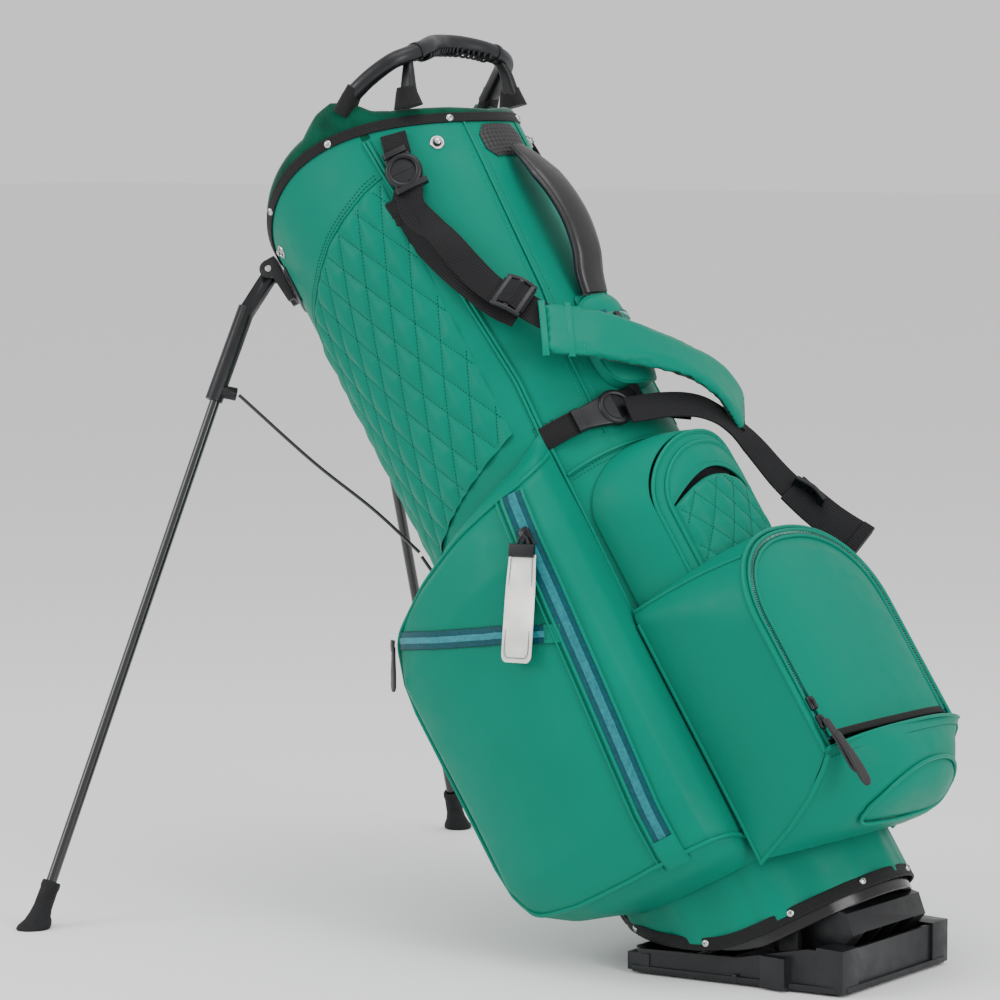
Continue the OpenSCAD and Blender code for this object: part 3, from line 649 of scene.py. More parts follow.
def tube_off(phi, z):
    """How far the cover stands off the plain tube: seams, soft hollows and the skirt's folds."""
    side = np.abs(phi)
    off = 0.7 + hollow((side + piping_phi(z)) * 2.1, 3.2, 1.0)
    off += hollow((side - np.interp(z, SPINE_SEAM[:, 0], -SPINE_SEAM[:, 1])) * 2.1, 2.6, 0.9) * (z > 425)
    off += 0.5 * np.sin(z / 61 + side / 23) * np.sin(side / 31 + 0.7)
    low = np.clip((118 - z) / 60, 0, 1)
    off += low * (1.5 * np.sin(np.radians(phi * 11 + z * 0.5)) + 1.0 * np.sin(np.radians(phi * 19 + 40)))
    return off


def belt(low, high, count):
    """Heights from low to high round the tube, as a grid of angle and height."""
    t = np.linspace(0, 1, count)[:, None]
    return np.broadcast_to(AROUND, (count, len(AROUND))), low + (high - low) * t


phi, z = belt(hem_z(AROUND), trim_z(AROUND), 150)
Parts().grid(tube(phi, z, tube_off(phi, z)), wrap=True).make(
    "tube_cover", M_GREEN, "green_leatherette", replaces="body_shell")
phi, z = belt(hem_z(AROUND), trim_z(AROUND), 40)
Parts().grid(tube(phi, z, -3), wrap=True, back=True).make("tube_lining", M_LINING, "lining")

piping = Parts()
seams = Parts()
for side in (1, -1):
    zs = np.linspace(66, 768, 90)
    ph = piping_phi(zs)
    for shift, rad in ((0, 1.7), (3.4, 1.5)):
        piping.sweep(tube(side * (ph - shift / 2.1), zs, 1.5), out_of(side * ph), oval(rad, rad, 8))
    zs = np.linspace(440, 756, 60)
    ph = np.interp(zs, SPINE_SEAM[:, 0], SPINE_SEAM[:, 1])
    piping.sweep(tube(side * ph, zs, 1.0), out_of(side * ph), oval(1.3, 1.0, 8))
    seams.dashes(tube(side * (ph + 3), zs, 1.1), out_of(side * ph), 3.6, 2.5, 0.8, 0.4)
    seams.dashes(tube(side * (ph - 3), zs, 1.1), out_of(side * ph), 3.6, 2.5, 0.8, 0.4)
piping.make("tube_piping", M_PIPING, "green_leatherette")
seams.make("tube_seam_stitches", M_THREAD, "green_leatherette")

# ---------- quilted side panels ----------
QUILT_LOW = np.array([(-148, 395), (-130, 424), (-100, 446), (-61, 474)])
QUILT_HIGH = np.array([(-148, 640), (-142, 660), (-131, 676), (-114.5, 690), (-93.8, 711.9), (-82, 720.8),
                       (-69.6, 729), (-61, 732)])
CELL = np.array([(13.0, -26.5), (-12.4, -28.5)])
CELL_FROM = np.array([arc(-76.8), 714.3])


def quilt_high(phi):
    return np.interp(phi, QUILT_HIGH[:, 0], QUILT_HIGH[:, 1])


def quilt_low(phi):
    return np.interp(phi, QUILT_LOW[:, 0], QUILT_LOW[:, 1])


def quilt_puff(s, z, cell, origin):
    """Height of the padding between diamond stitching: none on a stitch line, most in the middle."""
    ij = (np.stack([s, z], -1) - origin) @ np.linalg.inv(cell)
    a = np.abs(np.sin(math.pi * ij[..., 0]))
    b = np.abs(np.sin(math.pi * ij[..., 1]))
    return np.minimum(a, b) ** 0.55 * (0.6 + 0.4 * np.sqrt(a * b))


def side_quilt(side):
    cols = np.linspace(-147.5, -61.5, 150)
    t = np.linspace(0, 1, 190)[:, None]
    phi = np.broadcast_to(cols, (190, 150))
    z = quilt_low(cols) + (quilt_high(cols) - quilt_low(cols)) * t
    rim = np.minimum.reduce([(quilt_high(cols) - z) / 7, (phi + 147.5) * 2.1 / 5, (-61.5 - phi) * 2.1 / 5, 1 + 0 * z])
    puff = quilt_puff(arc(phi), z, CELL, CELL_FROM)
    off = 0.6 + np.clip(rim, 0, 1) ** 0.5 * (0.7 + 2.9 * puff)
    piece = Parts().grid(tube(phi, z, off) * [1, side, 1], back=side < 0)
    name = "near" if side > 0 else "far"
    piece.make("quilted_panel_" + name, M_GREEN, "green_leatherette", replaces="quilt_panel_" + name)
    stitches = Parts()
    for own, other in ((0, 1), (1, 0)):
        for k in range(-14, 20):
            reach = np.linspace(-14, 16, 900)[:, None]
            line = CELL_FROM + CELL[other] * k + CELL[own] * reach
            p = phi_at(line[:, 0])
            inside = ((p > -146.5) & (p < -62.3) & (line[:, 1] < quilt_high(p) - 3)
                      & (line[:, 1] > quilt_low(p) + 2))
            for run in np.split(np.arange(900), np.nonzero(np.diff(inside.astype(int)))[0] + 1):
                if len(run) > 3 and inside[run[0]]:
                    on = tube(p[run], line[run, 1], 1.75) * [1, side, 1]
                    stitches.dashes(on, out_of(p[run]) * [1, side, 1], 3.2, 2.2, 1.0, 0.45)
    for drop in (3, 6.5):
        p = np.linspace(-142, -62, 80)
        stitches.dashes(tube(p, quilt_high(p) + drop, 1.2) * [1, side, 1], out_of(p) * [1, side, 1], 3.4, 2.4, 0.8,
                        0.4)
    stitches.make("quilting_" + name, M_DARK_THREAD, "green_leatherette")
    p = np.linspace(-147, -61, 90)
    edge = Parts().sweep(tube(p, quilt_high(p) + 0.8, 1.2) * [1, side, 1], out_of(p) * [1, side, 1], oval(1.1, 1.0, 8))
    edge.make("quilt_edge_" + name, M_PIPING, "green_leatherette")


side_quilt(1)
side_quilt(-1)

# ---------- the open top ----------
CUFF_OUT = [(-0.30, 0.6), (0.0, 0.4), (0.2, 1.2), (0.45, 1.6), (0.7, 0.9), (0.86, -0.8), (0.96, -2.6), (1.0, -4.4),
            (0.96, -6.4), (0.84, -8.0), (0.6, -9.0), (0.3, -8.2), (0.0, -6.0)]
rise = cuff_rise(AROUND)
rings = [tube(AROUND, trim_z(AROUND) + f * rise, off) for f, off in CUFF_OUT]
rings += [tube(AROUND, trim_z(AROUND) - drop, -5.2) for drop in (8, 20, 34)]
fine = np.array(rings)
for _ in range(2):
    fine = np.concatenate([fine[:1], np.repeat(fine, 2, 0)[1:-1] * 0.75 + np.repeat(fine, 2, 0)[
        [i + (1 if i % 2 else -1) for i in range(1, 2 * len(fine) - 1)]] * 0.25, fine[-1:]])
Parts().grid(fine, wrap=True).make("velour_cuff", M_VELOUR, "green_velour", replaces="top_cuff")

ring_out = out_of(AROUND)


def bound_edge(name, z, width, gap, node):
    """Webbing sewn around an end of the tube, with two rows of stitches."""
    Parts().sweep(tube(AROUND, z, 1.6), ring_out, rounded(width, 2.2, 1.0), closed=True).make(
        name + "_binding", M_BINDING, "black_webbing", replaces=node)
    thread = Parts()
    for up in (-gap, gap):
        thread.dashes(np.vstack([tube(AROUND, z + up, 2.75), tube(AROUND[:1], z[:1] + up, 2.75)]),
                      np.vstack([ring_out, ring_out[:1]]), 3.2, 2.2, 0.7, 0.35)
    thread.make(name + "_stitches", M_BLACK_THREAD, "black_webbing")


bound_edge("collar", trim_z(AROUND), 9.6, 2.9, "top_trim")
bound_edge("hem", hem_z(AROUND), 11, 3.6, "hem_band")


def dome(r, h):
    return [(r, -1), (r, h * 0.2), (r * 0.9, h * 0.62), (r * 0.62, h * 0.9), (r * 0.25, h), (0, h)]


def rivet_row(name, phis, height, off, r, h, node):
    heads, slots = Parts(), Parts()
    for p in phis:
        at = tube(p, height(p), off)
        heads.lathe(at, out_of(p), dome(r, h), 20)
        # The cross slots are not cut into the dome: thin black strips laid on top stand in for the shade inside them,
        # painted shade.
        t = np.cross(out_of(p), [0, 0, 1])
        for turn in (0.4, 0.4 + math.pi / 2):
            d = math.cos(turn) * t + math.sin(turn) * np.cross(t, out_of(p))
            line = [at + out_of(p) * (h - 0.12) - d * r * 0.42, at + out_of(p) * (h + 0.05),
                    at + out_of(p) * (h - 0.12) + d * r * 0.42]
            slots.sweep(line, out_of(p), oval(0.28, 0.16, 6))
    heads.make(name, M_STEEL, "steel", replaces=node)
    slots.make(name + "_painted_slot_shade", M_BLACK_THREAD, "steel")


rivet_row("collar_rivet_heads", [-168, -118, -74, -24, 24, 74, 118, 168], lambda p: trim_z(p) - 1, 2.6, 3.6, 2.2,
          "collar_rivets")
rivet_row("hem_rivet_heads", [-128, -88, -52, -18, 18, 52, 88, 128], lambda p: hem_z(p) + 1, 2.5, 3.3, 2.0,
          "hem_rivets")

snaps, sockets = Parts(), Parts()
for p in (-34, -129, 34, 129):
    at = tube(p, trim_z(p) - 24, 0.6)
    snaps.lathe(at, out_of(p), [(6.4, -1), (6.4, 1.2), (5.8, 1.9), (5.0, 1.9), (4.5, 1.2), (4.1, 1.2)], 32)
    snaps.lathe(at, out_of(p), [(2.6, 0.8), (2.2, 3.2), (2.8, 4.0), (2.9, 4.6), (2.2, 5.1), (0, 5.2)], 24)
    sockets.lathe(at, out_of(p), [(4.6, 0.9), (2.4, 1.1), (0, 1.1)], 24)
snaps.make("snap_rings", M_STEEL, "steel", replaces="hood_snaps")
sockets.make("snap_centres", M_PLASTIC, "black_moulding")

# dividers: padded bars across the mouth and cloth walls below
bars = Parts()
for line, up in (([(x, 0, 716) for x in np.linspace(-131, 98, 30)], (0, 0, 1)),
                 ([(AXIS_X, y, 716) for y in np.linspace(-105, 105, 30)], (0, 0, 1))):
    bars.sweep(line, up, rounded(5.2, 52, 2.4))
bars.make("divider_bars", M_LINING, "lining", replaces="club_divider")
moulded("divider_panels", M_LINING, bevel=0.3)
moulded("side_stays", M_PLASTIC, bevel=0.4)

# ---------- top handle ----------
HALF = [(48, -98, 811), (72, -91, 816), (94, -80, 819), (104, -62, 821), (106, -42, 826), (101, -20, 834)]
grip_path = smooth_path(HALF + [(98, 0, 837)] + [flip(p) for p in HALF[::-1]], 150)


def bar_profile(width, height, ridge, n=20):
    """The handle's section: flat underneath and domed on top, with soft corners."""
    a = np.linspace(0, 2 * math.pi, n, endpoint=False)
    c, s = np.cos(a), np.sin(a)
    x = np.sign(c) * np.abs(c) ** 0.75 * width / 2
    y = np.sign(s) * np.abs(s) ** 0.8 * height / 2 + (s > 0) * ridge * (1 - np.abs(c))
    return np.stack([x, y], -1)


hub = np.array([0.35, 0, 1.0])
up_of_grip = np.broadcast_to(hub / np.linalg.norm(hub), grip_path.shape)
span = np.linspace(-1, 1, len(grip_path))
swell = 1 + 0.12 * np.exp(-(span / 0.35) ** 2)
handle = Parts().sweep(grip_path, up_of_grip, bar_profile(17, 13, 1.5), scale=swell)
for at in (0.29, 0.71):
    k = int(at * len(grip_path))
    handle.sweep(grip_path[k - 1:k + 2], up_of_grip[:3], bar_profile(19, 15, 1.6))
for side in (1, -1):
    post = smooth_path([(101, -64 * side, 818), (98, -69 * side, 806), (92, -72 * side, 792),
                        (88, -74 * side, 779)], 14)
    handle.sweep(post, (0, -side, 0), rounded(11, 7.5, 2.8), scale=np.linspace(0.75, 1.6, 14))
handle.make("handle_bar", M_PLASTIC, "black_moulding", replaces="top_handle", crease=50)
ribs = Parts()
for k in np.linspace(0.33, 0.67, 17):
    i = int(k * (len(grip_path) - 1))
    p, up = grip_path[i], up_of_grip[i]
    t = grip_path[i + 1] - grip_path[i - 1]
    t /= np.linalg.norm(t)
    s = np.cross(t, up)
    under = [p - s * 8 - up * 5, p - s * 5.5 - up * 8.6, p - up * 9.6, p + s * 5.5 - up * 8.6, p + s * 8 - up * 5]
    ribs.sweep(smooth_path(under, 12), t, rounded(2.2, 2.4, 0.7))
ribs.make("handle_ribs", M_PLASTIC, "black_moulding")
boots = Parts()
for side in (1, -1):
    foot = smooth_path([(92, -73.4 * side, 795), (89, -73.6 * side, 789), (85, -74 * side, 779)], 14)
    boots.sweep(foot, (0, -side, 0), bar_profile(21, 13, 0.5), scale=np.linspace(0.85, 1.35, 14))
    heel = smooth_path([(60, -96 * side, 816), (50, -98 * side, 810), (38, -100 * side, 803)], 14)
    boots.sweep(heel, (0, 0, 1), bar_profile(18, 14.5, 0.5), scale=np.linspace(0.9, 1.15, 14))
boots.make("handle_boots_cloth", M_BINDING, "black_webbing", replaces="handle_boots", crease=60)

# ---------- base ----------
low_cup = hem_z(AROUND) - (4.6 + 9.4 * np.clip((AXIS_X + 123 * np.cos(np.radians(AROUND)) + 20) / 50, 0, 1))
cup_rows = [tube(AROUND, z, off) for z, off in (
    (hem_z(AROUND) + 12, -3.8), (low_cup + 2.2, -3.6), (low_cup + 0.7, -4.0), (low_cup, -5.2),
    (low_cup + 0.2, -9), (low_cup + 2.5, -11), (hem_z(AROUND) + 9, -12))]
cup = Parts().grid(np.array(cup_rows), wrap=True, back=True)
floor_ring = [tube(AROUND, hem_z(AROUND) + 9, -12)]
for k in (0.66, 0.33, 0.02):
    flat = floor_ring[0].copy()
    flat[:, 0] = AXIS_X + (flat[:, 0] - AXIS_X) * k
    flat[:, 1] *= k
    floor_ring.append(flat)
cup.grid(np.array(floor_ring), wrap=True, back=True)
cup.make("cup_ring", plastic("gloss_moulding", (0.012, 0.012, 0.013), 0.2, 0.1), "black_moulding",
         replaces="base_cup", crease=30)
moulded("pivot_block", M_PLASTIC, bevel=1.8)
moulded("base_foot", M_PLASTIC, body="base_foot", bevel=0.9)
moulded("foot_pads", M_RUBBER, body="base_foot", bevel=0.8)
moulded("hinge_pin", M_STEEL, body="base_foot", bevel=0.5)

# ---------- apparel pockets ----------
RISE_PHI = np.array([-142, -139, -134, -127, -115, -103, -90, -79, -70, -64, -58, -54, -52])
RISE = np.array([0.04, 0.48, 0.93, 1.0, 0.89, 0.79, 0.72, 0.67, 0.63, 0.56, 0.38, 0.15, 0.04])
EDGE_T = np.array([0, 0.03, 0.08, 0.18, 0.8, 0.92, 0.97, 1])
EDGE = np.array([0.05, 0.55, 0.86, 1, 1, 0.84, 0.5, 0.05])
FINE_PHI = np.linspace(-142, -52, 361)
FINE_RISE = smear(np.interp(FINE_PHI, RISE_PHI, RISE), 14)
FINE_T = np.linspace(0, 1, 401)
FINE_EDGE = smear(np.interp(FINE_T, EDGE_T, EDGE), 10)
HIGH = np.array([(-142, 360), (-134, 388), (-125, 404), (-110, 420), (-90, 434), (-67, 446), (-52, 463)])
LOW = np.array([(-142, 116), (-134, 92), (-125, 78), (-110, 67), (-90, 60), (-67, 56), (-52, 56)])
FINE_HIGH = smear(np.interp(FINE_PHI, HIGH[:, 0], HIGH[:, 1]), 30)
FINE_LOW = smear(np.interp(FINE_PHI, LOW[:, 0], LOW[:, 1]), 30)


def pocket(phi, t, proud=0.0):
    """A point on the near apparel pocket, at an angle and a share of its height."""
    phi, t = np.broadcast_arrays(np.asarray(phi, float), np.asarray(t, float))
    d = 80 * np.interp(phi, FINE_PHI, FINE_RISE) * np.interp(t, FINE_T, FINE_EDGE)
    low, high = np.interp(phi, FINE_PHI, FINE_LOW), np.interp(phi, FINE_PHI, FINE_HIGH)
    z = low + (high - low) * t
    slack = 1.2 * np.sin(t * 9.5 + phi * 0.09) * np.sin(np.clip((phi + 142) / 90, 0, 1) * math.pi)
    return tube(phi, z, np.maximum(2.2, d + 1) + slack * np.clip(d / 30, 0, 1) + proud)


def pocket_out(phi, t):
    """The outward direction of the pocket's face."""
    a = pocket(np.asarray(phi) + 0.6, t) - pocket(np.asarray(phi) - 0.6, t)
    b = pocket(phi, np.asarray(t) + 0.008) - pocket(phi, np.asarray(t) - 0.008)
    n = np.cross(a, b)
    return n / np.linalg.norm(n, axis=-1, keepdims=True)


def pocket_line(pairs, count, proud):
    pt = smooth_path(pairs, count)
    phi, t = np.clip(pt[:, 0], -141.5, -52.5), np.clip(pt[:, 1], 0.01, 0.99)
    return pocket(phi, t, proud), pocket_out(phi, t)


cols = np.concatenate([np.linspace(-142, -124, 40), np.linspace(-123, -66, 70), np.linspace(-65, -52, 30)])
rows = np.concatenate([np.linspace(0, 0.2, 40), np.linspace(0.21, 0.79, 60), np.linspace(0.8, 1, 40)])
FACE = pocket(cols[None], rows[:, None])
RIM = [(-53, 0.05), (-60, 0.065), (-75, 0.07), (-95, 0.07), (-115, 0.075), (-126, 0.09), (-130.5, 0.14),
       (-131.5, 0.24), (-131.5, 0.5), (-131.5, 0.74), (-130.5, 0.84), (-126, 0.905), (-115, 0.935), (-95, 0.94),
       (-75, 0.94), (-60, 0.94), (-53, 0.95)]
for side, name in ((1, "near"), (-1, "far")):
    m = [1, side, 1]
    Parts().grid(FACE * m, back=side < 0).make("apparel_pocket_cover_" + name, M_GREEN, "green_leatherette",
                                               replaces="apparel_pocket_" + name)
    path, up = pocket_line(RIM, 260, 1.0)
    Parts().sweep(path * m, up * m, oval(2.0, 2.0, 10)).make("pocket_piping_" + name, M_PIPING, "green_leatherette")

# long zips: film-faced tape, ribbed coil down its middle, a welt beside it and a sewn end tab
LONG_U = np.linspace(7.4, 8.2, 60)
LONG_PHI = np.interp(LONG_U, np.arange(13), RISE_PHI)
LONG_T = np.linspace(0.055, 0.93, 60)
long_path = pocket(LONG_PHI, LONG_T, 1.2)
long_up = pocket_out(LONG_PHI, LONG_T)
tape, coil, welts, tabs, tab_thread = Parts(), Parts(), Parts(), Parts(), Parts()
for side in (1, -1):
    m = [1, side, 1]
    tape.sweep(long_path * m, long_up * m, rounded(16.5, 1.2, 0.5))
    coil.sweep((long_path + long_up * 0.55) * m, long_up * m, rounded(7.2, 1.5, 0.7))
    edge = np.cross(np.gradient(long_path, axis=0), long_up)
    edge /= np.linalg.norm(edge, axis=1, keepdims=True)
    for off, rad in ((-9.6, 1.5), (9.6, 1.5), (-14.5, 0.9)):
        welts.sweep((long_path + edge * off + long_up * 0.2) * m, long_up * m, oval(rad, rad * 0.9, 8))
    k = slice(0, 5)
    tabs.sweep((long_path[k] + long_up[k] * 1.6) * m, long_up[k] * m, rounded(19, 1.6, 0.7))
    ends = long_path[4] + long_up[4] * 2.5
    tab_thread.dashes(np.linspace(ends - edge[4] * 8.5, ends + edge[4] * 8.5, 8) * m, long_up[4] * m, 2.8, 2.0,
                      0.7, 0.4)
tape.make("long_zip_tape", M_TEAL, "teal_zip", replaces="apparel_zips")
coil.make("long_zip_coil", M_COIL, "teal_zip")
welts.make("long_zip_welts", M_PIPING, "green_leatherette")
tabs.make("long_zip_tabs", M_PIPING, "green_leatherette")
tab_thread.make("long_zip_tab_stitches", M_DARK_THREAD, "green_leatherette")

# small zip across the near pocket
SMALL_U = np.linspace(3.2, 7.6, 70)
SMALL_PHI = np.interp(SMALL_U, np.arange(13), RISE_PHI)
SMALL_T = np.interp(SMALL_U, [3.2, 3.83, 4.46, 5.09, 5.71, 6.34, 6.97, 7.6],
                    [0.9, 0.85, 0.8, 0.755, 0.71, 0.67, 0.635, 0.608])
small_path = pocket(SMALL_PHI, SMALL_T, 0.9)
small_up = pocket_out(SMALL_PHI, SMALL_T)
small_edge = np.cross(np.gradient(small_path, axis=0), small_up)
small_edge /= np.linalg.norm(small_edge, axis=1, keepdims=True)
Parts().sweep(small_path[:64], small_up[:64], rounded(15, 1.2, 0.5)).make(
    "small_zip_tape", M_TEAL, "teal_zip", replaces="small_zip")
Parts().sweep((small_path + small_up * 0.5)[:64], small_up[:64], rounded(5.4, 1.3, 0.6)).make(
    "small_zip_coil", zip_tape("dark_coil", (0.02, 0.2, 0.24), 0.4), "teal_zip")
Parts().sweep((small_path + small_up * 0.5)[62:], small_up[62:], rounded(16, 1.4, 0.6)).make(
    "small_zip_end", M_GREEN, "green_leatherette")
zip_thread = Parts()
for off in (-7.9, 7.9):
    zip_thread.dashes(small_path + small_edge * off + small_up * 0.7, small_up, 3.4, 2.5, 0.9, 0.4)
zip_thread.dashes(np.linspace(small_path[63] - small_edge[63] * 7, small_path[63] + small_edge[63] * 7, 8)
                  + small_up[63] * 1.4, small_up[63], 2.8, 2.0, 0.8, 0.4)
zip_thread.make("small_zip_stitches", M_BLACK_THREAD, "green_leatherette")

# ---------- pockets on the spine side ----------
def arch_line(half, low, high, rx, rz, count=56, power=2.2):
    """A round-topped outline in y and z, from low at the near side over to low at the far side."""
    a = np.linspace(0, math.pi / 2, 200)
    cy = -(half - rx) - rx * np.cos(a) ** (2 / power)
    cz = (high - rz) + rz * np.sin(a) ** (2 / power)
    left = np.vstack([[(-half, low)], np.stack([cy, cz], -1)])
    return even(np.vstack([left, left[::-1] * [-1, 1]]), count)


def match_line(half, low, high, rx, rz, count=26, power=2.2):
    """The same outline with points by share of wall, corner and top, so that two outlines pair up."""
    wall = np.stack([np.full(count, -half), np.linspace(low, high - rz, count)], -1)
    a = np.linspace(0, math.pi / 2, count)[1:]
    corner = np.stack([-(half - rx) - rx * np.cos(a) ** (2 / power), (high - rz) + rz * np.sin(a) ** (2 / power)], -1)
    top = np.stack([np.linspace(-(half - rx), 0, 10)[1:], np.full(9, high)], -1)
    left = np.vstack([wall, corner, top])
    return np.vstack([left, (left * [-1, 1])[::-1][1:]])


def spine_x(y):
    return AXIS_X + 126 * np.sqrt(np.clip(1 - (np.asarray(y) / 116) ** 2, 0, 1))


def place(outline, x):
    return np.stack([np.broadcast_to(x, len(outline)), outline[:, 0], outline[:, 1]], -1)


FRONT = (1, 0, 0)
UNDER_X, UNDER_Z = [66, 109, 140, 160, 170, 172], [50, 60.5, 72.5, 84.5, 91.5, 94]

# ball pocket: side walls from the tube to the rim, then rounded in towards the zip
rings = []
for share, tuck in [(k / 23, 0) for k in range(24)] + [(1.012, 0.7), (1.024, 2.0), (1.03, 3.4), (1.032, 5.0)]:
    k = min(share, 1)
    x = 66 + 104 * share
    grow = 2.2 * math.sin(math.pi * k) - tuck
    o = match_line(100 - 0.5 * k + grow, np.interp(x, UNDER_X, UNDER_Z), 289 + 8 * k + grow, 16 + 82 * k, 16 + 66 * k)
    start = np.maximum(spine_x(o[:, 0]) + 1, 66)
    rings.append(place(o, start + (170 - start) * share))
rings = np.array(rings)
Parts().grid(rings, back=True).make("ball_pocket_cover", M_GREEN, "green_leatherette", replaces="ball_pocket",
                                    thick=1.2)
ball_pipes = Parts()
for half, high, x, r in ((98.6, 296.5, 171.5, 2.1), (94.0, 292.5, 174.2, 1.5)):
    ball_pipes.sweep(place(arch_line(half, 97, high, half - 1, half * 0.84, 160), x), FRONT, oval(r, r, 10))
for m in (1, -1):
    flip_y = np.array([1, m, 1])
    ball_pipes.sweep((rings[:24, 38] + [0, 0, 0.3]) * flip_y, (0, -m, 1), oval(1.9, 1.9, 10))
    ball_pipes.sweep(rings[:26, 0] * flip_y, (0, -m, -0.2), oval(2.1, 2.1, 10))
    ball_pipes.sweep((rings[0, :26] + [1, 0, 0]) * flip_y, (0.4, -m, 0), oval(1.8, 1.8, 8))
ball_pipes.make("ball_pocket_piping", M_PIPING, "green_leatherette")


def flat_ring(outer, inner, x_out, x_in, rows=4):
    a, b = arch_line(*outer, 120), arch_line(*inner, 120)
    t = np.linspace(0, 1, rows)[:, None, None]
    x = x_out + (x_in - x_out) * t[..., :1] * np.ones((rows, 120, 1))
    return np.concatenate([x, a[None] * (1 - t) + b[None] * t], -1)


Parts().grid(flat_ring((94, 106, 292.5, 93, 80), (86.5, 106, 286, 85.5, 73), 173.4, 174.0), back=True).make(
    "ball_zip_tape", M_TEAL, "teal_zip", replaces="ball_zip", thick=1.0)
teeth = Parts()
for half, top in ((91.6, 290.6), (90.0, 289.2)):
    teeth.dashes(place(arch_line(half, 107, top, half - 1, half * 0.85, 300), 174.6), FRONT, 2.1, 2.4, 1.35, 0.95,
                 across=True)
teeth.make("ball_zip_teeth", M_TEETH, "zip_metal")

# the bulged door with piping round its edge
door_y = np.linspace(-86.4, 86.4, 90)
door_edge = arch_line(86.5, 108, 286.5, 85.5, 72, 600)[300:]
door_edge = door_edge[np.argsort(door_edge[:, 0])]
door_high = np.interp(np.abs(door_y), door_edge[:, 0], door_edge[:, 1])
up = np.linspace(0, 1, 60)[:, None]
door_z = 108 + (door_high - 108) * up
bulge = np.interp(up, [0, 0.15, 0.4, 0.62, 0.8, 0.92, 1], [0.62, 0.8, 1.0, 1.0, 0.82, 0.5, 0.0])
door_x = 173.8 + 9.5 * bulge * np.clip(1 - np.abs(door_y / 86.4) ** 2.8, 0, 1) ** 0.6
door = np.stack([door_x, np.broadcast_to(door_y, door_z.shape), door_z], -1)
Parts().grid(door).make("ball_door_cover", M_GREEN, "green_leatherette", body="ball_door",
                        replaces="ball_pocket_door", thick=1.5)
Parts().sweep(place(arch_line(86.5, 108, 286.5, 85.5, 72, 160), 174.6), FRONT, oval(1.7, 1.7, 10)).make(
    "ball_door_piping", M_PIPING, "green_leatherette", body="ball_door")
hem_y = np.linspace(-86, 86, 40)
hem_x = 173.4 + 5.9 * (1 - np.abs(hem_y / 86.4) ** 2.8) ** 0.6
Parts().sweep(np.stack([hem_x, hem_y, 0 * hem_y + 109], -1), FRONT, rounded(6, 2.6, 1)).make(
    "ball_door_binding", M_BINDING, "black_webbing", body="ball_door")

# zip sliders and the two leather pulls lying over the pouch's rim
ball_sliders = Parts()
for drop in (0, 17):
    ball_sliders.box((177.2, -92, 121 + drop), (4.2, 7, 12))
    ball_sliders.box((180.4, -93, 120 + drop), (2.6, 3.2, 9))
ball_sliders.make("ball_zip_sliders", metal("dark_zip_metal", (0.05, 0.05, 0.055), 0.25), "zip_metal", bevel=1.2)


def tongue(length, wide, count=24):
    """Half widths down a leather pull: narrow at its neck, full and round at its end."""
    t = np.linspace(0, 1, count)
    w = np.interp(t, [0, 0.06, 0.25, 0.6, 0.9, 0.97, 1], [0.55, 0.62, 0.66, 0.95, 0.95, 0.7, 0.3]) * wide / 2
    return t * length, smear(w, 1)


pulls, pull_thread = Parts(), Parts()
for k, (x, z) in enumerate(((184.5, 120), (188.5, 106))):
    s, w = tongue(50, 13)
    path = np.stack([x + 3.5 * np.sin(s / 28), -96 + 0 * s - 1.0 * k, z - s], -1)
    prof = np.array([rounded(2 * h, 2.8, 1.2) for h in w])
    pulls.sweep(path, FRONT, prof)
    for m in (-1, 1):
        edge = path + np.stack([0 * s + 1.5, m * (w - 1.9), 0 * s], -1)
        pull_thread.dashes(edge[2:-1], FRONT, 2.6, 1.8, 0.55, 0.3)
pulls.make("ball_pull_tongues", M_HIDE, "black_leather", body="ball_zip_pulls", replaces="ball_zip_pulls")
pull_thread.make("ball_pull_stitches", velour("grey_thread", (0.12, 0.12, 0.13), 0.1), "black_leather",
                 body="ball_zip_pulls")

# open pouch under the door: deep in the middle, closing onto the ball pocket at its sides
MID = smooth_path([(118, 37), (150, 34), (178, 44), (192, 64), (196, 82), (194, 99)], 40)
EDGE_XZ = smooth_path([(70, 51.5), (109, 62), (140, 74), (160, 86), (170, 93), (176, 98)], 40)
pouch_y = np.linspace(-101, 101, 90)


def pouch(k, y, proud=0.0):
    """A point on the pouch: k runs from its back to its rim, y across the bag."""
    s = 1 - np.abs(y / 101.5) ** 2.8
    row_k = np.asarray(k) * 39
    a = np.stack([np.interp(row_k, np.arange(40), EDGE_XZ[:, c]) for c in (0, 1)], -1)
    b = np.stack([np.interp(row_k, np.arange(40), MID[:, c]) for c in (0, 1)], -1)
    q = a + (b - a) * np.asarray(s)[..., None]
    away = q - np.array([128, 92])
    away /= np.linalg.norm(away, axis=-1, keepdims=True)
    q = q + away * np.asarray(proud)[..., None]
    return np.stack([q[..., 0], np.broadcast_to(y, q[..., 0].shape), q[..., 1]], -1)


K, Y = np.meshgrid(np.linspace(0, 1, 60), pouch_y, indexing="ij")
sag = 1.2 * np.sin(Y / 27) * np.sin(K * 5)
OVAL = smooth_path([(0.30, -58), (0.45, -62), (0.60, -45), (0.69, -15), (0.71, 20), (0.66, 48), (0.54, 62),
                    (0.40, 60), (0.31, 40), (0.27, 0), (0.27, -35)], 160, closed=True)
near_oval = np.sqrt((((K[..., None] - OVAL[:, 0]) * 95) ** 2 + (Y[..., None] - OVAL[:, 1]) ** 2).min(-1))
sag = sag - 1.1 * np.exp(-(near_oval / 3.4) ** 2)
Parts().grid(pouch(K, Y, sag), back=False).make("pouch_cover", M_GREEN, "green_leatherette", replaces="lower_pouch",
                                                thick=2.0)
pouch_lip = pouch(np.full(90, 1.0), pouch_y)
Parts().grid(pouch(K[20:], Y[20:], -2.6), back=True).make("pouch_lining", M_LINING, "lining")
trim = Parts().sweep(pouch_lip, (0, 0, 1), oval(1.4, 1.6, 10))
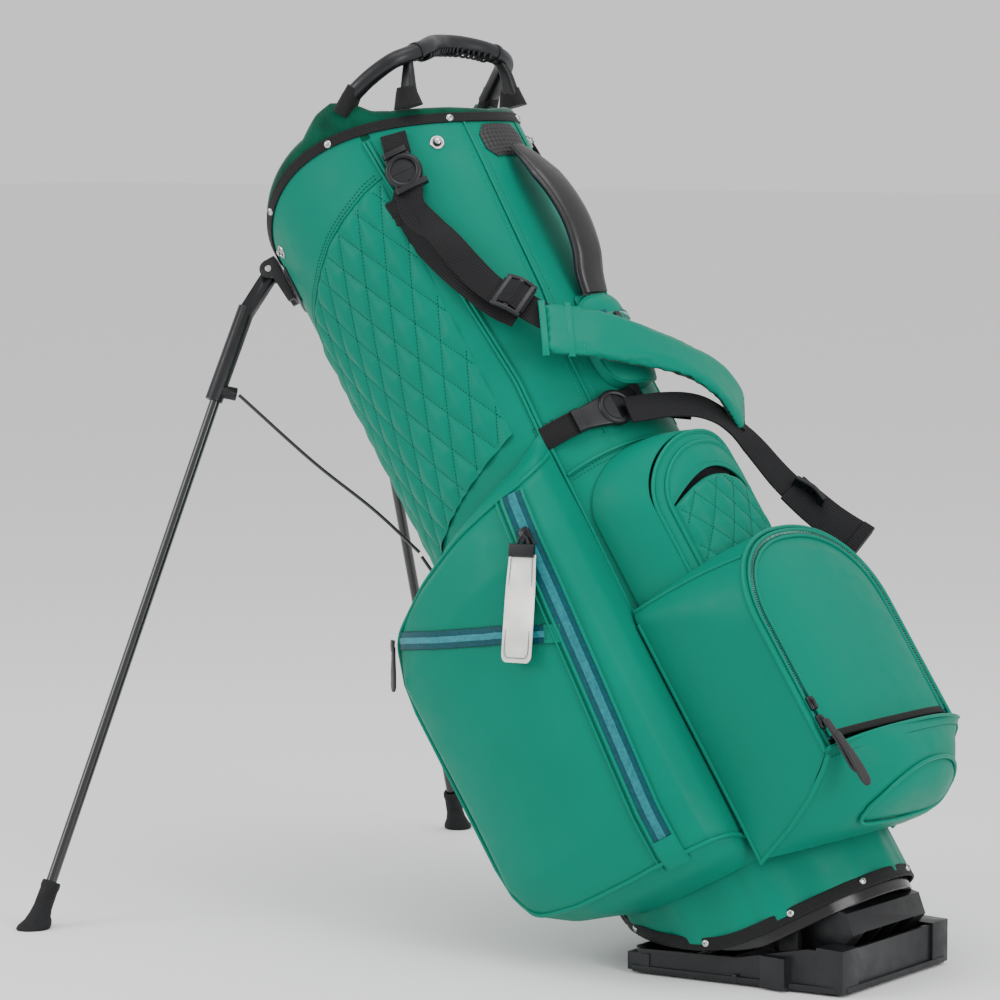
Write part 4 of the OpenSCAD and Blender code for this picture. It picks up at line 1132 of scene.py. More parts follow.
oval_line = pouch(OVAL[:, 0], OVAL[:, 1], np.full(160, 0.4))
oval_out = pouch(OVAL[:, 0], OVAL[:, 1], np.full(160, 5.0)) - oval_line
trim.sweep(oval_line, oval_out, oval(1.9, 1.7, 10), closed=True)
trim.make("pouch_piping", M_PIPING, "green_leatherette")
lip_thread = Parts()
lip_thread.dashes(pouch(np.full(90, 0.92), pouch_y, np.full(90, 0.5)), FRONT, 3.3, 2.4, 0.8, 0.4)
lip_thread.make("pouch_stitches", M_DARK_THREAD, "green_leatherette")

# upper pocket: swollen walls off the tube, a double-piped face with a flap, and a quilted front
def face_x(y):
    return 141 - 25 * np.abs(np.asarray(y) / 70) ** 2.3


rings = []
for k in np.linspace(0, 1, 22):
    grow = 5 * math.sin(math.pi * k * 0.85)
    o = match_line(87 - 17 * k + grow * 0.4, 286, 423 - 13 * k + grow * 0.5, 62, 56 + 4 * k, 22)
    start = spine_x(o[:, 0]) + 1.2
    rings.append(place(o, start + (face_x(np.clip(o[:, 0], -70, 70)) - start) * k))
rings = np.array(rings)
Parts().grid(rings, back=True).make("upper_pocket_cover", M_GREEN, "green_leatherette", replaces="upper_pocket",
                                    thick=1.2)


def on_face(o, proud):
    return np.stack([face_x(o[:, 0]) + proud, o[:, 0], o[:, 1]], -1)


def face_out(y):
    slope = 25 * 2.3 / 70 * np.abs(np.asarray(y) / 70) ** 1.3 * np.sign(y)
    n = np.stack([np.ones_like(slope), slope, 0 * slope], -1)
    return n / np.linalg.norm(n, axis=-1, keepdims=True)


pipes = Parts()
for half, high, r, proud in ((69.5, 409.5, 1.8, 0.6), (60.5, 399, 1.8, 1.2)):
    o = arch_line(half, 286, high, half - 2, half - 6, 150)
    pipes.sweep(on_face(o, proud), face_out(o[:, 0]), oval(r, r, 10))
    pipes.sweep(on_face(o * [0.97, 1] - [0, 1.5], proud - 0.4), face_out(o[:, 0]), oval(1.1, 1.1, 8))
gusset_phi = np.linspace(-50, 50, 90)
gusset_z = 425 - 6 * np.abs(gusset_phi / 50) ** 3
pipes.sweep(tube(gusset_phi, gusset_z, 2.4), out_of(gusset_phi), oval(1.5, 1.5, 8))
pipes.make("upper_pocket_piping", M_PIPING, "green_leatherette")
gusset_thread = Parts()
for drop in (4, 7.5):
    gusset_thread.dashes(tube(gusset_phi, gusset_z + drop - 11, 3.3), out_of(gusset_phi), 3.4, 2.4, 0.8, 0.4)
gusset_thread.make("gusset_stitches", M_DARK_THREAD, "green_leatherette")


def flap_low(y):
    return 375 - 26 * np.abs(np.asarray(y) / 60) ** 1.9


y_cols = np.linspace(-59.5, 59.5, 80)
t = np.linspace(0, 1, 24)[:, None]
arch_half = arch_line(60.5, 286, 399, 58.5, 54.5, 400)
arch_top = np.interp(y_cols, arch_half[:, 0], arch_half[:, 1])
z_flap = flap_low(y_cols) + (np.maximum(arch_top, flap_low(y_cols) + 1) - flap_low(y_cols)) * t
puffy = 2.6 * np.sin(t * math.pi * 0.75 + 0.5)
flap = np.stack([face_x(y_cols) + puffy + 0 * z_flap, np.broadcast_to(y_cols, z_flap.shape), z_flap], -1)
Parts().grid(flap).make("upper_pocket_flap", M_GREEN, "green_leatherette", thick=1.6)
gusset = flat_ring((69.5, 286, 409.5, 67.5, 63.5), (60.5, 286, 399, 58.5, 54.5), 0, 0, 5)
gusset[..., 0] = face_x(gusset[..., 1]) + 0.4
Parts().grid(gusset, back=True).make("upper_pocket_gusset", M_GREEN, "green_leatherette", thick=1.0)
flap_thread = Parts()
lip = np.stack([face_x(y_cols) + 3.2, y_cols, flap_low(y_cols) + 4.5], -1)
flap_thread.dashes(lip, face_out(y_cols), 3.3, 2.4, 0.8, 0.4)
flap_thread.make("flap_stitches", M_THREAD, "green_leatherette")
inner = np.stack([face_x(y_cols) - 5.0 + 0 * z_flap, np.broadcast_to(y_cols, z_flap.shape),
                  292 + (flap_low(y_cols) + 12 - 292) * t], -1)
Parts().grid(inner).make("upper_pocket_lining", M_LINING, "lining")

q_cols, q_t = np.linspace(-58, 58, 110), np.linspace(0, 1, 90)[:, None]
q_top = flap_low(q_cols) - 2 - 5 * (1 - np.abs(q_cols / 58) ** 2)
q_z = 292 + (q_top - 292) * q_t
Q_CELL = np.array([(12.5, -17.0), (-12.5, -17.0)])
rim = np.minimum(np.clip((58 - np.abs(q_cols)) / 6, 0, 1) + 0 * q_z, np.clip((q_top - q_z) / 5, 0, 1))
q_off = 0.5 + np.clip(rim, 0, 1) ** 0.5 * (2.0 + 2.6 * quilt_puff(q_cols + 0 * q_z, q_z, Q_CELL, np.array([0, 372.0])))
quilted = np.stack([face_x(q_cols) - 1 + q_off, np.broadcast_to(q_cols, q_z.shape), q_z], -1)
Parts().grid(quilted).make("upper_pocket_quilt", M_GREEN, "green_leatherette", replaces="upper_pocket_front",
                           thick=1.2)
front_thread = Parts()
for own, other in ((0, 1), (1, 0)):
    for k in range(-8, 9):
        line = np.array([0, 372.0]) + Q_CELL[other] * k + Q_CELL[own] * np.linspace(-8, 8, 500)[:, None]
        ok = (np.abs(line[:, 0]) < 56) & (line[:, 1] > 293) & (line[:, 1] < np.interp(line[:, 0], q_cols, q_top) - 2)
        for run in np.split(np.arange(500), np.nonzero(np.diff(ok.astype(int)))[0] + 1):
            if len(run) > 3 and ok[run[0]]:
                y, z = line[run, 0], line[run, 1]
                front_thread.dashes(np.stack([face_x(y) + 1.9, y, z], -1), face_out(y), 3.1, 2.2, 0.75, 0.4)
front_thread.make("upper_pocket_quilting", M_DARK_THREAD, "green_leatherette")

# valuables pocket high on the spine side, with a curved zip and its pull
rings = []
for out, shrink in ((0.4, 0), (6, 0), (12, 0.4), (14.5, 1.6), (16, 4), (17.3, 9), (18, 16), (18.2, 24)):
    a = np.linspace(0, 2 * math.pi, 80, endpoint=False)
    c, s = np.cos(a), np.sin(a)
    y = (34 - shrink) * np.sign(c) * np.abs(c) ** 0.55
    z = 516 + (44 - shrink) * np.sign(s) * np.abs(s) ** 0.55
    rings.append(np.stack([spine_x(y) + out * np.clip(1 - (np.abs(y) / 60) ** 2, 0.5, 1), y, z], -1))
rings.append(np.array([[127.4, 0, 516]] * 80))
Parts().grid(np.array(rings), wrap=True).make("valuables_cover", M_GREEN, "green_leatherette",
                                              replaces="valuables_pocket")
rim = Parts().sweep(rings[2], np.gradient(rings[2], axis=0)[:, [0, 2, 1]] * [0, 1, -1] + [0.7, 0, 0],
                    oval(1.2, 1.2, 8), closed=True)
rim.make("valuables_piping", M_PIPING, "green_leatherette")
zip_y = np.linspace(-26, 26, 40)
zip_top = np.stack([spine_x(zip_y) + 17.4 - 0.004 * zip_y ** 2, zip_y, 538 + 0 * zip_y], -1)
Parts().sweep(zip_top, FRONT, rounded(9, 1.0, 0.3)).make("valuables_zip_tape", M_TEAL, "teal_zip")
coil = Parts().dashes(zip_top + [0.6, 0, 0], FRONT, 1.6, 3.2, 1.1, 0.7, across=True)
coil.make("valuables_zip_teeth", M_TEETH, "zip_metal")
s, w = tongue(25, 8)
pull = Parts().sweep(np.stack([127.6 + 0.6 * np.sin(s / 9), -0.6 + 0 * s, 531.5 - s], -1), FRONT,
                     np.array([rounded(2 * h, 2.2, 0.9) for h in w]))
pull.box((127.8, -0.6, 534), (3.6, 6.5, 8))
pull.make("valuables_tongue", M_HIDE, "black_leather", body="valuables_pull", replaces="valuables_pull", bevel=0.6)

# carry handle: leather over the top, welted edges, fleece underneath, and its two patches
carry = smooth_path([(117, 0, 716), (126, 0, 692), (134, 0, 661), (136, 0, 630), (131, 0, 602), (122, 0, 582),
                     (117, 0, 564)], 70)
t = np.gradient(carry, axis=0)
carry_out = np.stack([-t[:, 2], 0 * t[:, 0], t[:, 0]], -1)
carry_out /= np.linalg.norm(carry_out, axis=1, keepdims=True)
taper = np.interp(np.linspace(0, 1, 70), [0, 0.1, 0.25, 0.85, 1], [0.5, 0.72, 1, 1, 0.9])
crown = [(-17, -0.6), (-17, 3.0), (-15.5, 4.6), (-10, 5.8), (0, 6.4), (10, 5.8), (15.5, 4.6), (17, 3.0), (17, -0.6)]
under = [(16.2, -0.5), (15.8, -3.4), (12, -5.2), (0, -5.8), (-12, -5.2), (-15.8, -3.4), (-16.2, -0.5)]
Parts().sweep(carry, carry_out, crown, scale=taper).make("carry_handle_leather", M_HIDE, "black_leather",
                                                         replaces="carry_handle", crease=60)
Parts().sweep(carry, carry_out, under, scale=taper).make("carry_handle_fleece", velour(
    "navy_fleece", (0.01, 0.016, 0.032), 0.5), "black_leather")
welt = Parts()
for m in (-1, 1):
    edge = carry + np.cross(t / np.linalg.norm(t, axis=1, keepdims=True), carry_out) * (m * 16.8 * taper)[:, None]
    welt.sweep(edge, carry_out, oval(1.1, 1.1, 8))
welt.make("carry_handle_welt", M_HIDE, "black_leather")


def patch(low, high, half, cut, proud, name, material, slot, replaces=()):
    y = np.linspace(-half, half, 40)
    z = np.linspace(low, high, 30)[:, None]
    nip = np.clip((np.abs(z - (low + high) / 2) - (high - low) / 2 + cut) / cut, 0, 1) * cut * 0.9
    yy = y * (1 - nip / half)
    puff = proud + 1.2 * np.clip(1 - np.abs(y / half) ** 8, 0, 1) * np.clip(
        1 - np.abs((z - (low + high) / 2) / ((high - low) / 2)) ** 8, 0, 1)
    return Parts().grid(np.stack([spine_x(yy) + puff, yy, z + 0 * yy], -1)).make(
        name, material, slot, replaces=replaces, thick=1.4)


patch(712, 745, 28, 9, 1.6, "handle_patch_top", M_PATCH, "black_patch", "handle_patches")
patch(540, 566, 20, 3, 1.8, "handle_tab_low", M_GREEN, "green_leatherette")
tab_thread = Parts()
for z in (545, 561):
    y = np.linspace(-17, 17, 30)
    tab_thread.dashes(np.stack([spine_x(y) + 3.3, y, z + 0 * y], -1), FRONT, 3.0, 2.2, 0.7, 0.35)
tab_thread.make("handle_tab_stitches", M_DARK_THREAD, "green_leatherette")


# ---------- shoulder straps ----------
def puffed(name, path, normal, wide, thick, push, replaces=()):
    """A padded strap: a thin closed strip blown up by a short cloth simulation, fleece on its underside."""
    path = even(path, 60)
    normal = even_like(path, np.asarray(normal, float), 60) if len(normal) == 60 else normal
    ends = np.interp(np.linspace(0, 1, 60), [0, 0.04, 0.96, 1], [0.9, 1, 1, 0.92])
    obj = Parts().sweep(path, normal, rounded(wide, thick, thick * 0.42, 4), scale=ends).build(name, close=True)
    grid = obj.modifiers.new("grid", "REMESH")
    grid.mode = "VOXEL"
    grid.voxel_size = 0.004
    apply_all(obj)
    count = len(obj.data.vertices)
    start = np.empty(count * 3)
    obj.data.vertices.foreach_get("co", start)
    cloth = obj.modifiers.new("cloth", "CLOTH")
    cloth.settings.use_pressure = True
    cloth.settings.uniform_pressure_force = 4
    cloth.settings.effector_weights.gravity = 0
    for step in range(1, 21):
        bpy.context.scene.frame_set(step)
    done = obj.evaluated_get(bpy.context.evaluated_depsgraph_get()).data
    end = np.empty(count * 3)
    done.vertices.foreach_get("co", end)
    move = (end - start).reshape(-1, 3)
    size = np.linalg.norm(move, axis=1, keepdims=True)
    move *= np.minimum(size, push / 1000) / np.maximum(size, 1e-9)
    obj.modifiers.clear()
    bpy.context.scene.frame_set(1)
    obj.data.vertices.foreach_set("co", (start.reshape(-1, 3) + move).ravel())
    fine = obj.modifiers.new("fine", "SUBSURF")
    fine.levels = 1
    dress(obj, [M_GREEN, M_FLEECE], "bag", replaces, 60)
    line = to_row(path)
    up = to_row(path + normal / np.linalg.norm(normal, axis=-1, keepdims=True)) - line
    for face in obj.data.polygons:
        k = np.argmin(((line - np.array(face.center)) ** 2).sum(1))
        face.material_index = 1 if np.dot(up[k] * 1000, np.array(face.normal)) < -0.25 else 0
    return obj


near_pad = smooth_path([(109, -84, 536), (121.5, -62, 524.5), (134, -42, 512), (144, -8, 494), (149, 30, 474),
                        (146, 66, 450), (132, 92, 424)], 60)
lean = np.interp(near_pad[:, 1], [-60, 10, 60], [1.2, 0.7, -0.1])
near_up = np.stack([near_pad[:, 0] + 17, lean * near_pad[:, 1], 0 * near_pad[:, 0] + 30], -1)
near_up /= np.linalg.norm(near_up, axis=1, keepdims=True)
puffed("shoulder_pad_near", near_pad, near_up, 55, 7, 3.0, "shoulder_pads")
far_z = np.linspace(652, 500, 60)
far_pad, far_up = tube(np.full(60, 66), far_z, 9.2), out_of(np.full(60, 66.0))
puffed("shoulder_pad_far", far_pad, far_up, 47, 6.5, 2.5)


def across(path, up, k, half, lift, bow=0.0):
    """A line across a strap at one of its points, riding over its crowned face."""
    t = path[min(k + 1, len(path) - 1)] - path[max(k - 1, 0)]
    side = np.cross(t / np.linalg.norm(t), up[k])
    w = np.linspace(-1, 1, 16)[:, None]
    return path[k] + side * w * half + up[k] * (lift - bow * w ** 4), np.broadcast_to(up[k], (16, 3))


pad_trim, pad_thread = Parts(), Parts()
for path, up, half, lift in ((near_pad, near_up, 28, 5.6), (far_pad, far_up, 23.5, 5.0)):
    for k in (0, 6):
        line, n = across(path, up, k, half, lift - 0.6 * (k == 0), 3.0)
        pad_trim.sweep(line, n, rounded(6, 2.4, 1))
    for k in (3, 9):
        line, n = across(path, up, k, half - 2, lift + 0.2, 2.2)
        pad_thread.dashes(line, n, 3.2, 2.3, 0.8, 0.5)
pad_trim.make("pad_end_folds", M_GREEN, "green_pad")
pad_thread.make("pad_stitches", M_THREAD, "green_pad")
pad_binding = Parts()
for path, up, half in ((near_pad, near_up, 27.5), (far_pad, far_up, 23)):
    line, n = across(path, up, 59, half, 0)
    pad_binding.sweep(line, n, rounded(5, 9, 1.5))
pad_binding.make("pad_end_binding", M_BINDING, "black_webbing")


def strap(parts, points, wide, thick, normal_of, twist=((0, 0), (1, 0)), count=80):
    path = smooth_path(points, count)
    n = normal_of(path)
    n = n / np.linalg.norm(n, axis=1, keepdims=True)
    t = np.gradient(path, axis=0)
    t /= np.linalg.norm(t, axis=1, keepdims=True)
    side = np.cross(t, n)
    turn = np.radians(np.interp(np.linspace(0, 1, count), *zip(*twist)))[:, None]
    n = n * np.cos(turn) + side * np.sin(turn)
    parts.sweep(path, n, rounded(wide, thick, thick * 0.4, 2))
    return path, n


def round_bag(p):
    return np.stack([p[:, 0] + 17, 1.2 * p[:, 1], 0 * p[:, 0]], -1)


def leaning(p):
    """Faces off the bag at first, then swings round to face the near side."""
    t = np.interp(np.arange(len(p)) / len(p), [0.15, 0.5, 0.8], [0, 0.7, 1])[:, None]
    off = np.stack([p[:, 0] - 13, 1.1 * p[:, 1], 0 * p[:, 0] + 10], -1)
    off /= np.linalg.norm(off, axis=1, keepdims=True)
    return off * (1 - t) + np.array([0.62, -0.75, 0.1]) * t



web = Parts()
strap(web, [(66, -98, 716), (59, -102.5, 690), (70, -98.5, 656), (78, -95, 620), (86, -90, 592), (100, -83, 568),
            (113, -74, 543)], 25, 2, round_bag, ((0, 0), (0.15, 8), (0.3, -24), (0.5, 10), (0.7, -6), (1, 0)))
strap(web, [(62, -97, 712), (48, -104, 688), (56, -100.5, 650), (68, -95, 612), (80, -89, 580), (93, -84, 560)],
      24, 1.6, round_bag, ((0, 0), (0.25, 30), (0.5, 16), (0.8, -8), (1, 0)))
strap(web, [tube(48, 722, 5), tube(58, 690, 6), tube(66, 650, 7)], 25, 2, round_bag)
web.make("upper_strap_webbing", M_WEB, "black_webbing", replaces="upper_webbing")
web = Parts()
low_path, low_n = strap(web, [(119, -42, 447), (134, -6, 441), (140, 28, 433), (138, 58, 419), (134, 84, 393),
                              (138, 96, 352), (150, 108, 308), (168, 114, 272)], 25, 2.2, leaning,
                        ((0, 0), (0.3, 6), (0.6, -10), (1, 0)))
end_at = low_path[56:]
web.sweep(end_at + low_n[56:] * 2.4, low_n[56:], rounded(31, 2.6, 1))
web.sweep(end_at[-4:] + low_n[-4:] * 4.4, low_n[-4:], rounded(31, 2.2, 0.9))
strap(web, [tube(-6, 452, 8), tube(10, 448, 12), (134, 28, 436)], 24, 1.8, leaning)
web.make("lower_strap_webbing", M_WEB, "black_webbing", replaces="lower_webbing")
end_thread = Parts()
line, n = across(low_path, low_n, 75, 14, 5.0)
end_thread.dashes(line, n, 2.8, 2.0, 0.7, 0.4)
end_thread.make("strap_end_stitches", M_BLACK_THREAD, "black_webbing")

# webbing loops stitched to the bag
loops, loop_thread = Parts(), Parts()


def loop(phis, zs, offs, wide, thick=2.6, boxed=True):
    n = 24
    u = np.linspace(0, 1, n)
    k = np.linspace(0, 1, len(phis))
    ph, z, off = np.interp(u, k, phis), np.interp(u, k, zs), np.interp(u, k, offs)
    path = tube(ph, z, off + 1.2 * np.sin(math.pi * u))
    loops.sweep(path, out_of(ph), rounded(wide, thick, 1, 2))
    if boxed:
        t = np.gradient(path, axis=0)
        side = np.cross(t / np.linalg.norm(t, axis=1, keepdims=True), out_of(ph))
        for m in (-1, 1):
            loop_thread.dashes(path + side * m * wide * 0.38 + out_of(ph) * 1.5, out_of(ph), 2.6, 1.9, 0.7, 0.4)


loop((-49, -50, -51), (762, 752, 741), (2.6, 4.6, 6.4), 23)
loop((-65, -61, -56, -52), (701, 700, 697, 694), (2.0, 3.2, 4.2, 4.8), 17, 2.4)
loop((-65, -61, -57), (693, 692, 690), (2.2, 3.0, 3.6), 15, 2.2)
loop((-52, -47, -42, -38), (456, 456, 456, 456), (2.0, 3.6, 6.2, 8.2), 21)
loop((44, 46, 48), (752, 738, 722), (2.6, 4.2, 6), 24)
loops.make("strap_loop_webbing", M_BINDING, "black_webbing", replaces="strap_loops")
for phi in np.linspace(-54, -45, 4):
    z = np.linspace(446, 471, 14)
    loop_thread.dashes(tube(np.full(14, phi), z, 1.2), out_of(np.full(14, phi)), 3.0, 2.2, 0.8, 0.4)
for z0, z1 in ((446, 471), (471, 446)):
    phi = np.linspace(-54, -45, 14)
    loop_thread.dashes(tube(phi, np.linspace(z0, z1, 14), 1.2), out_of(phi), 3.0, 2.2, 0.8, 0.4)
loop_thread.make("strap_box_stitches", M_BLACK_THREAD, "black_webbing")

# magnetic buckles with their press buttons, and the sliders that set the length
buckles = Parts()
DISH = [(13, -1.5), (15.2, -1), (16.2, 0.6), (16.4, 4.6), (15.8, 6.2), (14.4, 7.2), (12.8, 7.3), (11.5, 6.6),
        (11.2, 4.4), (10.9, 3.6), (0, 3.6)]
for phi, z in ((-52, 725), (-20, 456)):
    buckles.lathe(tube(phi, z, 5.6), out_of(phi), DISH, 56)


def bar(points, wide, thick, radius=1.6):
    path = smooth_path(points, 20)
    n = round_bag(path)
    n[:, 1] /= 1.2
    buckles.sweep(path, n, rounded(wide, thick, radius, 4) if np.isscalar(wide) else
                  np.array([rounded(w, thick, radius, 4) for w in np.interp(np.linspace(0, 1, 20), *zip(*wide))]))


bar([tube(-52, z, 7.4) for z in (745, 735, 725)], ((0, 20), (0.5, 25), (1, 30)), 6)
bar([tube(-52, z, 7.4) for z in (725, 716, 708)], ((0, 30), (0.5, 27), (1, 27)), 5.4)
bar([tube(-52, z, 8.6) for z in (712, 709.5, 707)], 30, 8.5, 2.4)
bar([tube(-52, z, 8.6) for z in (746, 743.5, 741)], 22, 8, 2.4)
bar([tube(phi, 456, 8.4) for phi in (-37, -30, -20)], ((0, 18), (0.5, 24), (1, 31)), 6)
bar([tube(phi, 456, 8.4) for phi in (-20, -13, -6)], ((0, 31), (0.5, 28), (1, 28)), 5.4)
bar([tube(phi, 456, 9.6) for phi in (-9, -7.4, -5.8)], 31, 9.5, 2.6)
bar([tube(phi, 456, 9.6) for phi in (-38.5, -37, -35.5)], 21, 8, 2.4)
buckles.make("strap_buckle_bodies", M_PLASTIC, "black_moulding", replaces="strap_buckles")
Parts().lathe(tube(-52, 725, 5), out_of(-52), [
    (9.6, 0.2), (10.5, 0.6), (10.5, 3.3), (10.1, 4.1), (9.2, 4.4), (7.8, 4.0), (5, 3.3), (2.4, 2.9),
    (0, 2.8)], 48).make(
    "upper_button_face", M_PLASTIC, "black_moulding", body="upper_button", replaces="upper_button")
Parts().lathe(tube(-20, 456, 6.5), out_of(-20), [
    (9.6, 0.2), (10.5, 0.6), (10.5, 3.1), (10.0, 3.9), (9.2, 4.1), (8.9, 3.7), (8.5, 3.7), (8.2, 4.2), (5, 4.35),
    (0, 4.4)], 48).make(
    "lower_button_face", M_GREY, "grey_button", body="lower_button", replaces="lower_button")
sliders, slider_web = Parts(), Parts()
for a, b, n in (((94, -90.5, 586), (106, -83.5, 566), (1, -0.9, 0.3)), ((139, 100, 345), (147, 107, 320), (0.4, 1, 0))):
    a, b, n = (np.array(v, float) for v in (a, b, n))
    n /= np.linalg.norm(n)
    d = (b - a) / np.linalg.norm(b - a)
    side = np.cross(d, n)
    turn = np.array([side, d, n])
    for m in (-1, 1):
        rail = [a + side * m * 15 - d * 2, (a + b) / 2 + side * m * 15.6 + n * 3.2, b + side * m * 15 + d * 2]
        sliders.sweep(smooth_path(rail, 16), n, rounded(3.6, 4.6, 1.4))
    for at, up in ((0.04, 1.4), (0.5, 3.6), (0.96, 1.4)):
        sliders.box(a + (b - a) * at + n * up, (31, 4.6, 3.4), turn)
    over = [a - d * 3 + n * 0.5, a + (b - a) * 0.28 + n * 3.6, (a + b) / 2 + n * 6.6, a + (b - a) * 0.72 + n * 3.6,
            b + d * 3 + n * 0.5]
    slider_web.sweep(smooth_path(over, 24), n, rounded(25, 1.8, 0.8, 2))
sliders.make("strap_slider_frames", M_PLASTIC, "black_moulding", replaces="strap_sliders", bevel=0.9)
slider_web.make("strap_slider_webbing", M_WEB, "black_webbing")

# ---------- legs ----------
moulded("leg_bracket", M_PLASTIC, bevel=0.7)
moulded("leg_clevises", M_PLASTIC, bevel=1.2)
moulded("leg_pins", M_STEEL, bevel=0.4)
for side, name in ((1, "near"), (-1, "far")):
    flip_y = np.array([1, side, 1])
    body = "leg_" + name
    moulded("leg_knuckle_" + name, M_PLASTIC, body=body, bevel=1.2)
    foot_row = np.array([-609.9, -298.2, 0.0]) * flip_y
    pin_row = np.array([-535.9, -62.6, 573.6]) * flip_y
    axis = (foot_row - pin_row) / np.linalg.norm(foot_row - pin_row)
    rings = []
    a = np.linspace(0, 2 * math.pi, 36, endpoint=False)
    e1 = np.cross(axis, [0, 1, 0])
    e1 /= np.linalg.norm(e1)
    e2 = np.cross(axis, e1)
    toe = np.array([axis[0], axis[1], 0]) / np.linalg.norm(axis[:2])
    for up, r, flat in ((44, 5.4, 0), (44, 7.6, 0), (42.5, 8.4, 0), (39, 8.6, 0), (36, 8.0, 0), (20, 8.3, 0.1),
                        (13, 9.6, 0.4), (8, 11.6, 0.8), (4, 13.0, 1), (1.2, 13.4, 1), (0, 12.4, 1)):
        ring = e1 * np.cos(a)[:, None] * r + e2 * np.sin(a)[:, None] * r
        ring_flat = ring - axis * (ring[:, 2] / axis[2])[:, None]
        ring = ring * (1 - flat) + ring_flat * flat
        centre = foot_row - axis * up
        centre[2] = max(centre[2], 0)
        if flat == 1:
            ring[:, 2] = 0
            centre = foot_row - axis * up * 1.2
            centre[2] = up
            ring = ring / np.linalg.norm(ring, axis=1, keepdims=True) * r
            ring = ring * [1, 1, 0] + toe * np.maximum(ring @ toe, 0)[:, None] * 0.35
        rings.append(ring + centre)
    rings.append(np.array([foot_row] * 36))
    Parts(row=True).grid(np.array(rings), wrap=True).make("leg_boot_" + name, M_RUBBER, "rubber", body=body,
                                                          replaces="leg_foot_" + name, crease=50, close=True)
    moulded("leg_tube_" + name, M_ENAMEL, body=body, bevel=0)
    wire_a = smooth_path(np.array([from_row((-0.54361, -0.09856, 0.46336)), (-190, -68, 583), (-174, -40, 520),
                                   (-163, -22, 467.2)]) * flip_y, 60)
    Parts().sweep(wire_a, (0, 1, 0.3), oval(1.6, 1.6, 12)).make(
        "stay_upper_" + name, M_ENAMEL, "stay_rod", body="wire_upper_" + name, replaces="wire_upper_" + name)
    wire_b = smooth_path(np.array([
        (-163, -22, 462.8), (-155, -15, 380), (-150, -14, 280), (-147, -16, 180), (-146, -20, 96), (-134, -20, 76),
        from_row((-0.103, -0.02, 0.028))]) * flip_y, 90)
    Parts().sweep(wire_b, (0, 1, 0.3), oval(1.6, 1.6, 12)).make(
        "stay_lower_" + name, M_ENAMEL, "stay_rod", body="wire_lower_" + name, replaces="wire_lower_" + name)

# ---------- zip sliders, tag and pulls on the side pockets ----------
ZIP_TOP = np.array([44.8, -152.7, 374.8])
ZIP_OUT = np.array([0.33, -0.944, 0])
ZIP_DOWN = np.array([-0.0537, -0.022, -0.998])
for side, name in ((1, "near"), (-1, "far")):
    flip_y = np.array([1, side, 1])
    turn = np.array([np.cross(ZIP_DOWN, ZIP_OUT), ZIP_DOWN, ZIP_OUT]) * flip_y
    slider = Parts()
    at = ZIP_TOP + ZIP_OUT * 3.6
    slider.box(at * flip_y, (10, 16, 3.2), turn)
    slider.box((at + ZIP_OUT * 1.8 - ZIP_DOWN * 1.5) * flip_y, (4, 11, 3.0), turn)
    slider.box((at - ZIP_DOWN * 8) * flip_y, (8, 3.5, 3.0), turn)
    slider.make("long_zip_slider_" + name, metal("slider_metal_" + name, (0.045, 0.045, 0.05), 0.22), "zip_metal",
                body="zip_slider_" + name, replaces="zip_slider_" + name, bevel=1.1)


def hung(origin, turn_z, lean, pts):
    """Points of something that hangs from origin, x across its face and z up, put into the row's frame."""
    c, s = math.cos(math.radians(turn_z)), math.sin(math.radians(turn_z))
    e, f = math.cos(math.radians(lean)), math.sin(math.radians(lean))
    p = np.asarray(pts, float)
    y, z = p[..., 1] * e - p[..., 2] * f, p[..., 1] * f + p[..., 2] * e
    return np.stack([p[..., 0] * c - y * s, p[..., 0] * s + y * c, z], -1) + origin


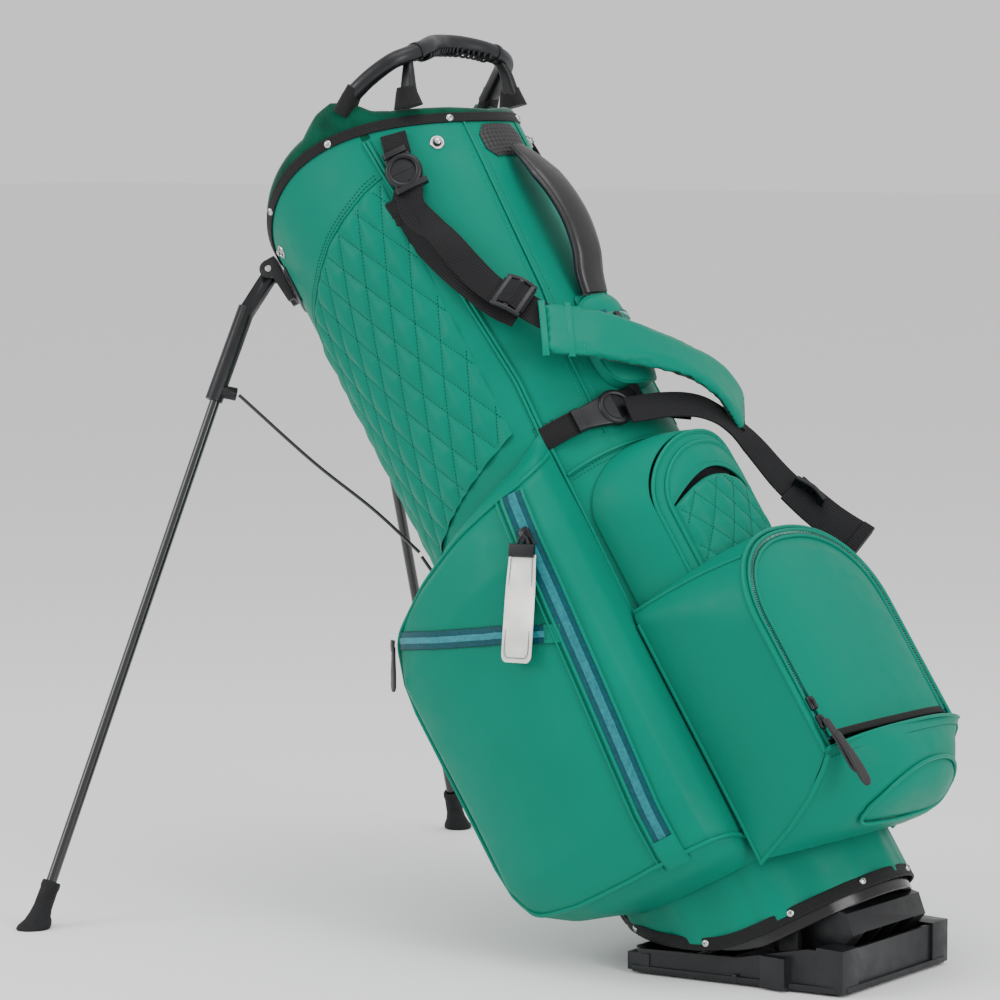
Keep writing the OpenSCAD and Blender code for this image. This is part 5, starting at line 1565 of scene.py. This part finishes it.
TAG_AT = np.array([-169.54, -162.68, 365.79])
tag_z = np.concatenate([np.linspace(-14, -96, 40), np.linspace(-97, -104, 10)])
tag_w = np.where(tag_z < -97, 13 - 5 * (1 - np.sqrt(np.clip(1 - ((-97 - tag_z) / 7.2) ** 2, 0, 1))), 13.0)
tag_w = tag_w * np.interp(tag_z, [-104, -40, -14], [1.04, 1.0, 0.92])
u = np.linspace(-1, 1, 16)
bow = 1.4 * np.sin((tag_z + 14) / 90 * math.pi) - 0.6
tag = Parts(row=True)
for y0 in (-1.1, 1.1):
    face = np.stack([u * tag_w[:, None], y0 + 0.5 * np.sign(y0) * bow[:, None] + 0 * u,
                     np.broadcast_to(tag_z[:, None], (50, 16))], -1)
    tag.grid(hung(TAG_AT, 14, -9, face[::-1]), back=y0 > 0)
tag.make("tag_leather_loop", M_TAG, "tag_leather", body="hang_tag", replaces="hang_tag", thick=1.3, bevel=0.4)
line_w, line_z = tag_w * 0.8, tag_z * 0.93 - 3.4
left = np.stack([-line_w, -1.75 - 0.5 * bow, line_z], -1)
border = np.vstack([left, (left * [-1, 1, 1])[::-1]])
Parts(row=True).sweep(hung(TAG_AT, 14, -9, border), hung(np.zeros(3), 14, -9, (0, -1, 0)), rounded(0.7, 0.3, 0.1, 1),
                      closed=True).make("tag_border", velour("grey_print", (0.10, 0.19, 0.17), 0.0), "tag_leather",
                                        body="hang_tag")
clip = Parts(row=True)
clip.sweep(hung(TAG_AT, 14, -9, [(-11, -1.8, -11), (0, -2.6, -11), (11, -1.8, -11)]),
           hung(np.zeros(3), 14, -9, (0, -1, 0)), rounded(11, 4.6, 1.6))
clip.sweep(hung(TAG_AT, 14, -9, [(-4.6, -1, -6), (-3.6, -1.4, -1), (0, -1.6, 1.4), (3.6, -1.4, -1), (4.6, -1, -6)]),
           hung(np.zeros(3), 14, -9, (0, -1, 0)), oval(1.3, 1.3, 10))
clip.make("tag_clip", M_PLASTIC, "black_moulding", body="hang_tag", crease=50)
PULL_AT = np.array([-315.76, -153.75, 263.43])
s, w = tongue(40, 9)
pull = Parts(row=True)
pull_up = hung(np.zeros(3), -30, 0, (0, -1, 0))
pull.sweep(hung(PULL_AT, -30, 0, np.stack([0 * s, -1.6 + 0 * s, -3 - s * 0.97], -1)), pull_up,
           np.array([rounded(2 * h, 2.6, 1.1) for h in w]))
pull.sweep(hung(PULL_AT, -30, 0, [(0, -2.2, 3), (0, -2.4, -2), (0, -2.0, -7)]), pull_up,
           rounded(6, 2.6, 1))
pull.make("small_zip_tongue", M_HIDE, "black_leather", body="small_zip_pull", replaces="small_zip_pull")
